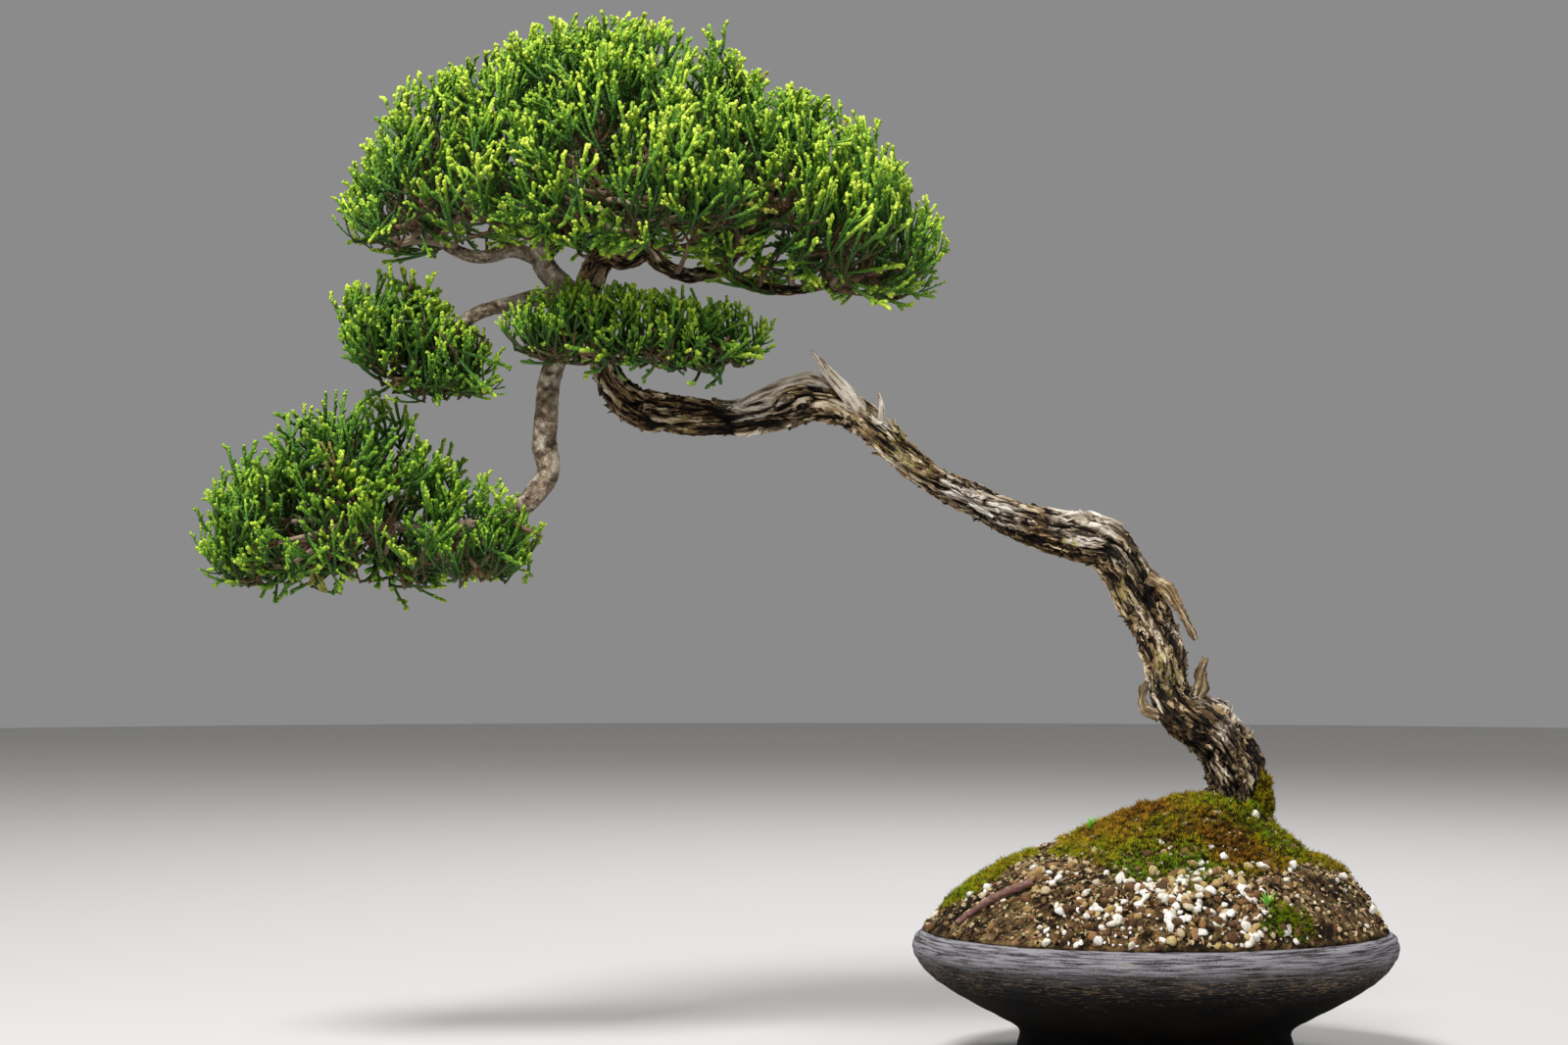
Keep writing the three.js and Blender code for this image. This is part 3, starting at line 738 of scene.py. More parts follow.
@dataclass(frozen=True)
class Bark(Finish):
    """Flaking juniper bark: black crevices, their dark partly painted shade, brown body, silvery ridges,
    lichen.
    """

    # The lowest stops are near black: the crevices' colour, partly painted shade.
    browns: Ramp = (
        (0.14, (0.007, 0.005, 0.004)), (0.32, (0.07, 0.039, 0.019)), (0.54, (0.18, 0.112, 0.05)),
        (0.74, (0.4, 0.275, 0.134)), (0.96, (0.82, 0.68, 0.48)),
    )
    greys: Ramp = (
        (0.14, (0.007, 0.005, 0.004)), (0.32, (0.07, 0.048, 0.03)), (0.56, (0.205, 0.148, 0.086)),
        (0.78, (0.47, 0.365, 0.228)), (0.96, (0.84, 0.745, 0.6)),
    )
    silvers: Ramp = (
        (0.14, (0.07, 0.048, 0.032)), (0.42, (0.5, 0.415, 0.315)), (0.74, (0.9, 0.85, 0.76)),
    )
    old_lichen: Colour = (0.23, 0.2, 0.04)
    new_lichen: Colour = (0.52, 0.46, 0.12)

    def material(self) -> Material:
        """Tone from the relief and from fibres along the grain; bare wood and lichen by their own masks."""
        g = self.graph()
        grain = g.node("ShaderNodeAttribute", {"attribute_name": "grain"}, {}, "Vector")
        fibre = g.noise(1.6, 5, 0.7, grain)
        strand = g.noise(5.0, 3, 0.6, grain)
        bare = g.value("bare")
        patch = g.noise(60, 3)
        fine = g.noise(1500, 3, 0.7)
        fibres = (fibre - 0.5) * 0.90 + (strand - 0.5) * 0.5 + (fine - 0.5) * 0.3
        level = ((g.value("tone") - 0.5) * 1.40 + 0.51 + fibres).clamped()
        brown, grey, silver = (g.colours(level, ramp) for ramp in (self.browns, self.greys, self.silvers))
        colour = g.blend(g.step(patch, 0.46, 0.66), brown, grey)
        colour = g.blend(bare, colour, silver)
        spots = g.value("lichen") * g.step(g.noise(330, 4, 0.7), 0.5, 0.58)
        spots = (spots * g.step(level, 0.22, 0.42)).clamped()
        colour = g.blend(spots * 0.85, colour, g.blend(fine, self.old_lichen, self.new_lichen))
        relief = fibre + strand * 0.8 + fine * 0.4
        return g.finish(colour, (0.95 - bare * 0.15).clamped(), relief, 0.0007, specular=0.2)


@dataclass(frozen=True)
class SmoothBark(Finish):
    """Pale young bark, ringed and scarred."""

    fawns: Ramp = (
        (0.1, (0.04, 0.024, 0.015)), (0.3, (0.135, 0.092, 0.058)), (0.55, (0.275, 0.215, 0.15)),
        (0.85, (0.64, 0.56, 0.445)),
    )
    scar: Colour = (0.3, 0.29, 0.26)

    def material(self) -> Material:
        """Fawn with darker rings and grey patches."""
        g = self.graph()
        ring = g.value("tone")
        patch = g.noise(110, 4)
        fine = g.noise(1100, 4, 0.7)
        level = (ring * 0.75 + (patch - 0.5) * 0.9 + (fine - 0.5) - 0.15).clamped()
        scars = g.step(patch, 0.54, 0.66)
        colour = g.blend(scars * 0.45, g.colours(level, self.fawns), self.scar)
        rough = (0.62 + fine * 0.3).clamped()
        return g.finish(colour, rough, ring + fine * 0.8, 0.0006, specular=0.3)


@dataclass(frozen=True)
class Deadwood(Finish):
    """Dry, bare, silvered wood with lengthwise checks."""

    silvers: Ramp = (
        (0.15, (0.04, 0.025, 0.016)), (0.38, (0.18, 0.122, 0.078)), (0.6, (0.45, 0.365, 0.275)),
        (0.85, (0.8, 0.735, 0.64)),
    )

    def material(self) -> Material:
        """Silver with brown in the checks."""
        g = self.graph()
        tone = g.value("tone")
        fine = g.noise(1500, 4, 0.7)
        level = tone * 0.7 + (fine - 0.5) * 0.7 + (g.noise(150, 2) - 0.5) * 0.5 + 0.20
        colour = g.colours(level.clamped(), self.silvers)
        return g.finish(colour, 0.86, fine + tone, 0.0005, specular=0.2)


@dataclass(frozen=True)
class ScaleLeaf(Finish):
    """Scale-leaf cords: brown and dark inside the tree, darker deep in the cloud as painted shade, lime at
    the tips.
    """

    ages: Ramp = (
        (0.00, (0.15, 0.072, 0.032)), (0.08, (0.042, 0.044, 0.01)), (0.22, (0.02, 0.064, 0.008)),
        (0.48, (0.05, 0.15, 0.01)), (0.7, (0.125, 0.275, 0.014)), (0.86, (0.36, 0.53, 0.028)),
        (1.00, (0.66, 0.78, 0.095)),
    )
    dead: Colour = (0.21, 0.095, 0.035)
    dead_from: float = 0.985

    def material(self) -> Material:
        """Colour by age along each cord, lowered deep in the cloud as painted shade, shifted by each spray's
        own shade; one in a hundred is brown.
        """
        g = self.graph()
        vary = g.value("vary")
        scale = g.cells(850)
        level = (g.value("age") + (vary - 0.5) * 0.16 + (0.40 - scale) * 0.34).clamped()
        brown = g.step(vary, self.dead_from, self.dead_from + 0.005)
        colour = g.blend(brown * 0.6, g.colours(level, self.ages), self.dead)
        rough = (0.48 + scale * 0.3).clamped()
        return g.finish(colour, rough, 1 - scale, 0.0006, specular=0.3)


@dataclass(frozen=True)
class Mottled(Finish):
    """Thin grown stuff: a ramp of colours read at a value of the mesh and at fine noise."""

    label: str
    ramp: Ramp
    reads: str
    share: float
    fine: tuple[float, ...]
    fine_share: float
    roughness: float
    depth: float
    patchy: float = 0.0

    def material(self) -> Material:
        """Colour along the ramp, in patches where it is patchy."""
        g = Graph(self.label)
        fine = g.noise(*self.fine)
        level = g.value(self.reads) * self.share + fine * self.fine_share
        if self.patchy:
            level = level + (g.noise(160, 2) - 0.5) * self.patchy
        return g.finish(g.colours(level.clamped(), self.ramp), self.roughness, fine, self.depth)


TWIG_BARK = Mottled(
    "TwigBark", ((0.2, (0.04, 0.02, 0.012)), (0.5, (0.165, 0.082, 0.045)), (0.85, (0.38, 0.29, 0.2))),
    "tone", 0.55, (1300, 3, 0.7), 0.5, 0.82, 0.0004, 0.4,
)
RED_ROD = Mottled(
    "RedRod", ((0.2, (0.03, 0.012, 0.01)), (0.5, (0.145, 0.06, 0.045)), (0.85, (0.33, 0.205, 0.17))),
    "tone", 0.6, (900, 4, 0.7), 0.45, 0.7, 0.0003,
)
SEEDLING = Mottled(
    "Seedling", ((0.1, (0.04, 0.15, 0.012)), (0.6, (0.12, 0.42, 0.022)), (1.0, (0.36, 0.6, 0.09))),
    "tip", 0.8, (900, 2), 0.3, 0.5, 0.0001,
)


@dataclass(frozen=True)
class Moulded(Finish):
    """Black moulded plastic."""

    black: Colour = (0.012, 0.013, 0.012)
    dust: Colour = (0.12, 0.08, 0.045)

    def material(self) -> Material:
        """Near black with a fine grain and dusty patches."""
        g = self.graph()
        dusty = g.step(g.noise(300, 3), 0.5, 0.75)
        colour = g.blend(dusty * 0.4, self.black, self.dust)
        return g.finish(colour, 0.45 + dusty * 0.3, g.noise(2500, 2), 0.0001)


@dataclass(frozen=True)
class Wirework(Finish):
    """Anodised training wire."""

    copper: Colour = (0.33, 0.17, 0.09)
    tarnish: Colour = (0.12, 0.07, 0.045)

    def material(self) -> Material:
        """Copper brown metal, dulled in patches."""
        g = self.graph()
        dull = g.noise(500, 3)
        colour = g.blend(g.step(dull, 0.45, 0.7), self.copper, self.tarnish)
        return g.finish(colour, 0.3 + dull * 0.3, dull, 0.0001, metallic=0.9)


class Workshop:
    """Keeps each material and hands finished pieces to the frame."""

    def __init__(self) -> None:
        """Starts with no materials made."""
        self.materials: dict[Finish, Material] = {}

    def material(self, finish: Finish) -> Material:
        """The finish's material, made the first time it is asked for."""
        if finish not in self.materials:
            self.materials[finish] = finish.material()
        return self.materials[finish]

    def dress(self, obj: bpy.types.Object, finish: Finish) -> None:
        """Gives an object one finish."""
        obj.data.materials.clear()
        obj.data.materials.append(self.material(finish))

    def settle(self, piece: bpy.types.Object, finish: Finish, slot: Slot, *nodes: str) -> bpy.types.Object:
        """Finishes a piece.

        Args:
            piece: the new object.
            finish: its finish.
            slot: the record's slot it belongs to; not used.
            nodes: the CAD nodes it stands for.

        Returns:
            The piece.
        """
        self.dress(piece, finish)
        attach(piece, "root")
        if nodes:
            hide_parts(*nodes)
        log.info("%s: %d faces", piece.name, len(piece.data.polygons))
        return piece


# ---- pot
@dataclass
class Pot:
    """The bowl: a lip that turns in, a body that runs in to a notched foot ring."""

    segments: int = 196
    foot_radius: float = 0.057
    recess_radius: float = 0.046
    foot_height: float = 0.010
    floor: float = 0.016
    drain_radius: float = 0.009
    notches: int = 3
    notch_half: float = 0.0125
    notch_height: float = 0.0072
    line_depth: float = 0.00028
    spacing: float = 0.00125
    oval: float = 0.0012
    wobble: float = 0.0006

    def outline(self) -> list[Triple]:
        """The profile from the drain up the outside, over the lip and down to the floor.

        Returns:
            Rows of radius, height and how much of a lip the place is.
        """
        r, h = POT_RADIUS, POT_HEIGHT
        body = [(0.0555, 0.0102), (0.0568, 0.0128), (0.0615, 0.0158), (0.0690, 0.0196), (0.0772, 0.0240),
                (0.0845, 0.0282), (0.0902, 0.0320), (0.0944, 0.0356), (0.0974, 0.0392), (0.0992, 0.0425)]
        lip = [(r - 0.0001, h - 0.0074), (r, h - 0.0058), (r - 0.0005, h - 0.0036), (r - 0.0017, h - 0.0017),
               (r - 0.0036, h - 0.0004), (r - 0.0055, h), (r - 0.0073, h - 0.0006), (r - 0.0086, h - 0.0020),
               (r - 0.0092, h - 0.0045)]
        inside = [(r - 0.0100, h - 0.0100), (0.0845, 0.0325), (0.0700, 0.0235), (0.0560, self.floor)]
        rows = [(self.drain_radius, 0.0090), (0.0450, 0.0090), (0.0485, 0.0080), (0.0490, 0.0060),
                (0.0490, 0.0012), (0.0498, 0.0), (0.0560, 0.0), (0.0570, 0.0010), (0.0570, 0.0050),
                (0.0560, 0.0085)]
        return (
            [(a, b, 0.0) for a, b in rows]
            + [(a, b, 0.45 * (i / 9) ** 8) for i, (a, b) in enumerate(body)]
            + [(a, b, 1.0) for a, b in lip]
            + [(a, b, 0.0) for a, b in inside]
            + [(self.drain_radius, self.floor, 0.0)]
        )

    def profile(self) -> tuple[Array, Array, Array]:
        """The outline with rounded corners and turning lines, as radius, height and lip."""
        rows = np.array([*self.outline(), self.outline()[0]])
        length = np.concatenate([[0], np.cumsum(np.linalg.norm(np.diff(rows[:, :2], axis=0), axis=1))])
        along = np.unique(np.concatenate([length, np.arange(0, length[-1], self.spacing)]))[:-1]
        radius, height, lip = (np.interp(along, length, rows[:, k]) for k in range(3))
        for _ in range(3):
            radius = radius * 0.5 + (np.roll(radius, 1) + np.roll(radius, -1)) * 0.25
            height = height * 0.5 + (np.roll(height, 1) + np.roll(height, -1)) * 0.25
        outer = (radius > 0.058) & (height > 0.011) & (height < POT_HEIGHT - 0.001)
        spots = np.stack([height * 900, height * 0, height * 0], axis=1)
        radius = radius + outer * lattice(spots, 5) * self.line_depth
        return radius, height, lip

    def build(self, workshop: Workshop) -> None:
        """Turns the profile, lets the notches into the foot and hands the pot over."""
        radius, height, lip = self.profile()
        angles = round_angles(self.segments)
        warp = 1 + self.oval * np.sin(angles * 2 + 0.7) + self.wobble * np.sin(angles * 5)
        reach = radius[:, None]
        level = [reach * np.cos(angles) * warp, reach * np.sin(angles) * warp]
        grid = np.stack([*level, height[:, None] + angles * 0], axis=-1)
        for number in range(self.notches):
            middle = -math.pi / 2 + number * TURN / self.notches
            off = np.sin(angles - middle) * self.foot_radius
            ahead = np.cos(angles - middle) > 0
            arch = self.notch_height * np.sqrt(np.clip(1 - (off / self.notch_half) ** 2, 0, 1)) * ahead
            ring = ((radius > self.recess_radius) & (height < self.foot_height))[:, None]
            grid[..., 2] = np.where(ring, np.maximum(grid[..., 2], arch), grid[..., 2])
        rows = len(radius)
        around = np.concatenate([grid, grid[:1]]).reshape(-1, 3)
        faces = grid_faces(rows + 1, self.segments) % (rows * self.segments)
        # Bands for the tan dashes: the one on the shoulder is painted light on the upper body; a weaker one
        # lies at the foot.
        wear = bump(height, 0.0390, 0.0080) + 0.35 * bump(height, 0.004, 0.005)
        values = {"lip": np.repeat(lip, self.segments), "wear": np.repeat(wear, self.segments)}
        shape = Shape(around[: rows * self.segments] + AXIS, [faces[:, ::-1]], values)
        piece = shape.made("pot_bowl")
        select_only(piece)
        bpy.ops.object.mode_set(mode="EDIT")
        bpy.ops.mesh.select_all(action="SELECT")
        bpy.ops.mesh.remove_doubles(threshold=1e-6)
        bpy.ops.mesh.normals_make_consistent(inside=False)
        bpy.ops.object.mode_set(mode="OBJECT")
        workshop.settle(piece, Stoneware(), Slot.STONEWARE, "pot")


# ---- soil and what grows or lies on it
@dataclass
class Mound:
    """The heap of soil: its height everywhere, in metres from the pot's axis."""

    radius: float = POT_RADIUS - 0.0045
    edge: float = POT_HEIGHT + 0.0005
    rise: float = SOIL_HIGH[2] - POT_LOW[2] - (POT_HEIGHT + 0.0030)
    lean: float = 0.020
    swells: float = 0.0028
    lumps: float = 0.0011
    probe: float = 0.0015
    shares: tuple[float, ...] = (0.0, 0.10, 0.20, 0.27, 0.39, 0.555, 0.64, 0.73, 0.84, 0.942, 1.0)
    rises: tuple[float, ...] = (1.0, 0.99, 0.965, 0.925, 0.770, 0.612, 0.548, 0.460, 0.305, 0.135, 0.0)

    def lump(self, x: Array, y: Array) -> Array:
        """Unevenness of the surface, none at the edge."""
        fade = 1 - ramp(np.hypot(x, y), self.radius * 0.88, self.radius)
        return (flat_noise(x, y, 48, 11) * self.swells + flat_noise(x, y, 210, 12) * self.lumps) * fade

    def height(self, x: Array, y: Array) -> Array:
        """The soil's height above the foot at places from the axis."""
        height = np.full(np.shape(x), self.edge)
        for _ in range(4):
            lean = self.lean * np.clip((height - self.edge) / self.rise, 0, 1) ** 1.5
            share = np.hypot(x - lean, y) / self.radius
            height = self.edge + self.rise * np.interp(share, self.shares, self.rises)
        return height + self.lump(x, y)

    def points(self, x: Array, y: Array, lift: float | Array = 0.0) -> Array:
        """Points of the frame on the soil."""
        return np.stack([x, y, self.height(x, y) + lift], axis=-1) + AXIS

    def normals(self, x: Array, y: Array) -> Array:
        """The surface's direction at places from the axis."""
        step = self.probe
        slope_x = (self.height(x + step, y) - self.height(x - step, y)) / (2 * step)
        slope_y = (self.height(x, y + step) - self.height(x, y - step)) / (2 * step)
        return unit(np.stack([-slope_x, -slope_y, np.ones_like(x)], axis=-1))


MOUND = Mound()


PEBBLE_LUMPS = 0.34
PEBBLE_BREAKS = 9
BREAK_DEPTHS = (0.50, 0.80)


def pebble(rng: Rng, level: int, flat: float) -> Shape:
    """One uneven grain of about unit radius, with a few broken faces.

    Args:
        rng: the source of its lumps.
        level: how finely its ball is divided.
        flat: its height as a share of its width.

    Returns:
        The grain, closed.
    """
    bpy.ops.object.select_all(action="DESELECT")
    bpy.ops.mesh.primitive_ico_sphere_add(subdivisions=level, radius=1.0)
    ball = bpy.context.active_object
    verts = np.array([vertex.co for vertex in ball.data.vertices])
    faces = np.array([face.vertices for face in ball.data.polygons])
    bpy.data.objects.remove(ball, do_unlink=True)
    seed = int(rng.integers(1000))
    verts = verts * (1 + PEBBLE_LUMPS * fractal(verts * 1.2 + seed, seed, 2))[:, None]
    for _ in range(PEBBLE_BREAKS):
        way = rng.normal(size=3)
        way /= np.linalg.norm(way)
        past = np.maximum(verts @ way - rng.uniform(*BREAK_DEPTHS), 0)
        verts = verts - past[:, None] * way
    return Shape(verts * np.array([1.1, rng.uniform(0.70, 1.0), flat]), [faces])


def sliver(rng: Rng) -> Shape:
    """One bit of dry litter, about unit length, bent and pointed."""
    middle = [0.0, rng.normal(0, 0.12), rng.uniform(0, 0.12)]
    spots = np.array([[-0.5, 0, 0], middle, [0.5, rng.normal(0, 0.1), 0]])
    width = rng.uniform(0.04, 0.10)
    ring = np.array([[0, 1, 0], [0, 0, 0.5], [0, -1, 0], [0, 0, -0.5]]) * width
    return capped(spots[:, None] + ring[None] * np.array([0.5, 1.0, 0.3])[:, None, None])


@dataclass
class Soil:
    """The heap's surface with crumbs, litter, pumice and fired-clay grains scattered over it."""

    rings: int = 96
    segments: int = 300
    crumbs: int = 6200
    litter: int = 1800
    pumice: int = 500
    akadama: int = 700
    crumb_sizes: Pair = (0.0004, 0.0017)
    stone_sizes: Pair = (0.0009, 0.0029)
    litter_sizes: Pair = (0.0014, 0.0056)
    kinds: int = 9
    seed: int = 21

    def surface(self) -> Shape:
        """The heap's top, closed under it just inside the lip."""
        share = np.linspace(0.0, 1.0, self.rings + 1)[1:] ** 0.9
        angle = round_angles(self.segments)
        ragged = 1 + 0.010 * fractal(on_ring(angle, radius=9), 33)
        x = share[:, None] * MOUND.radius * np.cos(angle) * ragged
        y = share[:, None] * MOUND.radius * np.sin(angle) * ragged
        top = MOUND.points(x, y)
        top[..., 2] += fractal(top * 800, 31, 2) * 0.0006 * (1 - ramp(share, 0.96, 1.0))[:, None]
        edge = on_ring(angle, POT_HEIGHT - 0.0006, POT_RADIUS - 0.0055) + AXIS
        under = on_ring(angle, POT_HEIGHT - 0.0045, SOIL_RADIUS) + AXIS
        rings = np.concatenate([under[None], edge[None], top[::-1]])
        # The skin is set darker than most crumbs on it: painted shade in the gaps between the crumbs.
        return capped(rings, {"vary": 0.30 + 0.24 * fractal(rings * 420, 35)})

    def stony(self, x: Array, y: Array) -> Array:
        """How strongly a place belongs to the stony fans."""
        front = bump(x, 0.006, 0.042) * (0.20 * ramp(-y, 0.036, 0.050) + 0.80 * ramp(-y, 0.058, 0.070))
        left = 0.12 * bump(x, -0.078, 0.016) * bump(y, -0.030, 0.035)
        left = left + 0.4 * bump(x, -0.046, 0.009) * bump(y, -0.045, 0.010)
        back = 0.45 * bump(x, 0.010, 0.040) * ramp(y, 0.046, 0.066)
        return np.clip(front + left + back, 0, 1)

    def spread(self, rng: Rng, count: int, stony: bool) -> tuple[Array, Array]:
        """Places for grains.

        Args:
            rng: the source of the places.
            count: how many to keep.
            stony: whether they gather in the stony fans.

        Returns:
            The places' x and y from the axis.
        """
        reach = MOUND.radius * 0.992 * np.sqrt(rng.random(count * 16))
        angle = rng.random(count * 16) * TURN
        x, y = reach * np.cos(angle), reach * np.sin(angle)
        clumps = 0.5 + 0.5 * flat_noise(x, y, 80, 40, 2)
        liking = self.stony(x, y) * (clumps * 1.5 - 0.2) + 0.018 if stony else 0.25 + clumps * 0.6
        keep = rng.random(len(x)) < liking
        return x[keep][:count], y[keep][:count]

    def grains(self, rng: Rng, count: int, stony: bool, sizes: Pair,
               level: int, sink: float) -> Shape:
        """Grains of one sort, bedded in the surface.

        Args:
            rng: the source of their shapes and places.
            count: how many.
            stony: whether they gather in the stony fans.
            sizes: the smallest and the largest half width.
            level: how finely each grain is divided.
            sink: how far its middle stands over the soil, as a share of its size.

        Returns:
            The grains as one shape.
        """
        kinds = [pebble(rng, level, rng.uniform(0.6, 0.9)) for _ in range(self.kinds)]
        x, y = self.spread(rng, count, stony)
        size = sizes[0] + (sizes[1] - sizes[0]) * rng.random(len(x)) ** 2.2
        normals = MOUND.normals(x, y)
        spots = MOUND.points(x, y) + normals * (size * sink)[:, None]
        tilt = normals + rng.normal(0, 0.45, normals.shape)
        values = {"vary": rng.random(len(x))}
        pick = rng.integers(len(kinds), size=len(x))
        return scattered(kinds, pick, spots, facing(tilt, rng.random(len(x)) * TURN), size, values)

    def bits(self, rng: Rng) -> Shape:
        """Dry needles, straws and flakes of bark lying on the soil."""
        kinds = [sliver(rng) for _ in range(10)]
        x, y = self.spread(rng, self.litter, False)
        normals = MOUND.normals(x, y)
        tilt = normals + rng.normal(0, 0.22, normals.shape)
        shortest, longest = self.litter_sizes
        size = shortest + (longest - shortest) * rng.random(len(x)) ** 1.8
        sizes = np.stack([size, size * rng.uniform(0.6, 1.6, len(x)), size], axis=1)
        pick = rng.integers(len(kinds), size=len(x))
        turns = facing(tilt, rng.random(len(x)) * TURN)
        spots = MOUND.points(x, y) + normals * 0.0006
        return scattered(kinds, pick, spots, turns, sizes, {"vary": rng.random(len(x)) * 0.85 + 0.10})

    def build(self, workshop: Workshop) -> None:
        """Makes the heap and its grains."""
        rng = np.random.default_rng(self.seed)
        workshop.settle(self.surface().made("soil_heap"), Earth(), Slot.SOIL, "soil")
        crumbs = self.grains(rng, self.crumbs, False, self.crumb_sizes, 1, 0.12)
        workshop.settle(crumbs.made("soil_crumbs", False), Earth(), Slot.SOIL)
        workshop.settle(self.bits(rng).made("soil_litter", False), Earth(), Slot.SOIL)
        pumice = self.grains(rng, self.pumice, True, self.stone_sizes, 2, 0.35)
        workshop.settle(pumice.made("pumice_grains"), PUMICE, Slot.PUMICE, *nodes_named("pumice"))
        akadama = self.grains(rng, self.akadama, True, self.stone_sizes, 2, 0.28)
        workshop.settle(akadama.made("akadama_grains"), AKADAMA, Slot.AKADAMA, *nodes_named("akadama"))


def nodes_named(start: str) -> list[str]:
    """The CAD nodes whose names start so, in order."""
    return sorted(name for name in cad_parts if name.startswith(start))


@dataclass
class Spot:
    """A place on the tree or the heap, in millimetres from the pot's axis, with its reach."""

    x: float
    y: float
    z: float
    reach: float

    def over(self, points: Array) -> Array:
        """A bell about the spot at each point."""
        middle = np.array([self.x, self.y, self.z]) * MM + AXIS
        return bump(np.linalg.norm(points - middle, axis=-1), 0, self.reach * MM)


TINTS: list[tuple[Spot, float]] = [
    (Spot(27, -44, 84, 13), -0.50), (Spot(-6, -6, 108, 20), -0.34), (Spot(18, -30, 96, 9), -0.30),
    (Spot(47, -16, 98, 13), 0.22), (Spot(-8, -52, 82, 15), 0.26), (Spot(16, -60, 79, 14), 0.36),
    (Spot(-26, -14, 92, 14), -0.12),
]


def moss_tint(points: Array) -> Array:
    """How far the moss is from its usual shade, less for rust and more for green."""
    patchy = 0.22 * fractal(points * 75, 70, 2)
    return patchy + sum(size * spot.over(points) for spot, size in TINTS)


@dataclass
class MossPatch:
    """A cushion of moss on the heap, inside an outline in hundredths of the soil's radius."""

    node: str
    outline: Route
    green: float
    tufts: int
    thickness: float = 0.0024
    wide: float = 1.06
    seed: int = 3
    rings: int = 30
    segments: int = 110
    kinds: int = 6

    def reach(self, angle: Array) -> tuple[Array, Array]:
        """The outline about its middle: the middle, and the distance to the outline at each angle."""
        corners = np.array(self.outline) / 100 * SOIL_RADIUS
        middle = corners.mean(0)
        off = (corners - middle) * self.wide
        turn = np.arctan2(off[:, 1], off[:, 0])
        order = np.argsort(turn)
        turn, far = turn[order], np.linalg.norm(off, axis=1)[order]
        turn = np.concatenate([turn - TURN, turn, turn + TURN])
        far = np.tile(far, 3)
        ragged = 1 + 0.16 * fractal(on_ring(angle, radius=4), 50 + self.seed)
        return middle, np.interp(np.mod(angle + math.pi, TURN) - math.pi, turn, far) * ragged

    def thick(self, x: Array, y: Array, share: Array) -> Array:
        """How far the moss stands off the soil: lumpy, and thin at its outline."""
        lumps = 0.70 + 0.75 * flat_noise(x, y, 230, 60 + self.seed)
        return self.thickness * np.sqrt(np.clip(1 - share**3, 0, 1)) * lumps

    def cushion(self) -> Shape:
        """The moss's own body under its leaves."""
        angle = round_angles(self.segments)
        middle, far = self.reach(angle)
        share = np.linspace(0, 1, self.rings + 1)[1:, None] ** 0.8
        x = middle[0] + share * far * np.cos(angle)
        y = middle[1] + share * far * np.sin(angle)
        top = MOUND.points(x, y, self.thick(x, y, share) - 0.0006 * share)
        under = MOUND.points(x[-1], y[-1], -0.0022)
        skin = np.concatenate([under[None], top[::-1]])
        shade = np.clip(self.green + moss_tint(skin), 0, 1)
        # The cushion's low tip value gives it the moss's painted shade under the leaves.
        return capped(skin, {"tip": np.full(skin.shape[:2], 0.05), "green": shade})

    def leaves(self, rng: Rng) -> Shape:
        """Tufts of narrow leaves over the cushion."""
        angle = rng.random(self.tufts) * TURN
        middle, far = self.reach(angle)
        share = np.sqrt(rng.random(self.tufts)) * 1.05
        x, y = middle[0] + share * far * np.cos(angle), middle[1] + share * far * np.sin(angle)
        inside = np.hypot(x, y) < MOUND.radius * 0.99
        x, y, share = x[inside], y[inside], share[inside]
        normals = MOUND.normals(x, y)
        spots = MOUND.points(x, y, self.thick(x, y, share) - 0.0006)
        green = np.clip(self.green + moss_tint(spots) + rng.normal(0, 0.11, len(x)), 0, 1)
        kinds = [tuft(rng) for _ in range(self.kinds)]
        ways = facing(normals + rng.normal(0, 0.3, normals.shape), rng.random(len(x)) * TURN)
        pick = rng.integers(self.kinds, size=len(x))
        return scattered(kinds, pick, spots, ways, rng.uniform(0.75, 1.60, len(x)), {"green": green})

    def build(self, workshop: Workshop) -> None:
        """Makes the patch as one piece."""
        rng = np.random.default_rng(100 + self.seed)
        shape = joined([self.cushion(), self.leaves(rng)])
        workshop.settle(shape.made(self.node + "_tufts"), Moss(), Slot.MOSS, self.node)


TUFT_LEAVES = 5
LEAF_HALF = 0.00027
LEAF_THICK = 0.00026
LEAF_LEAN = 0.0017
LEAF_RISES = (0.0012, 0.0024)


def tuft(rng: Rng) -> Shape:
    """One moss shoot: a few narrow closed leaves that lean out from its foot."""
    leaves = []
    for number in range(TUFT_LEAVES):
        turn = number * GOLDEN + rng.uniform(-0.4, 0.4)
        lean = rng.uniform(0.35, 1.0) if number else 0.1
        out = np.array([math.cos(turn), math.sin(turn), 0.0])
        side = np.array([-out[1], out[0], 0.0]) * LEAF_HALF
        tip = out * LEAF_LEAN * lean + UP * rng.uniform(*LEAF_RISES)
        foot = out * 0.0001
        verts = np.array([foot - side, foot + side, foot + out * LEAF_THICK, tip])
        faces = np.array([[0, 2, 1], [0, 1, 3], [1, 2, 3], [2, 0, 3]])
        leaves.append(Shape(verts, [faces], {"tip": np.array([0.0, 0.0, 0.0, 1.0])}))
    return joined(leaves)


MOSS_PATCHES = [
    MossPatch("moss_crest", [
        [-38, 9], [-36, -22], [-20, -56], [8, -76], [36, -58], [64, -24], [67, 4], [47, 31], [7, 38],
        [-22, 31],
    ], green=0.50, tufts=5900, seed=1),
    MossPatch("moss_left", [
        [-56, 11], [-64, -13], [-82, -24], [-91, -9], [-89, 13], [-73, 27],
    ], green=0.58, tufts=1700, seed=2),
    MossPatch("moss_right", [
        [73, 16], [70, -2], [80, -13], [90, -2], [86, 18],
    ], green=0.45, tufts=380, thickness=0.0018, wide=0.74, seed=3),
    MossPatch("moss_back", [
        [-20, 50], [4, 48], [29, 53], [42, 71], [16, 84], [-16, 73],
    ], green=0.60, tufts=1500, seed=4),
    MossPatch("moss_front", [
        [38, -91], [38, -85], [50, -79], [60, -72], [62, -77], [50, -85],
    ], green=0.66, tufts=330, thickness=0.0022, wide=1.0, seed=5),
]


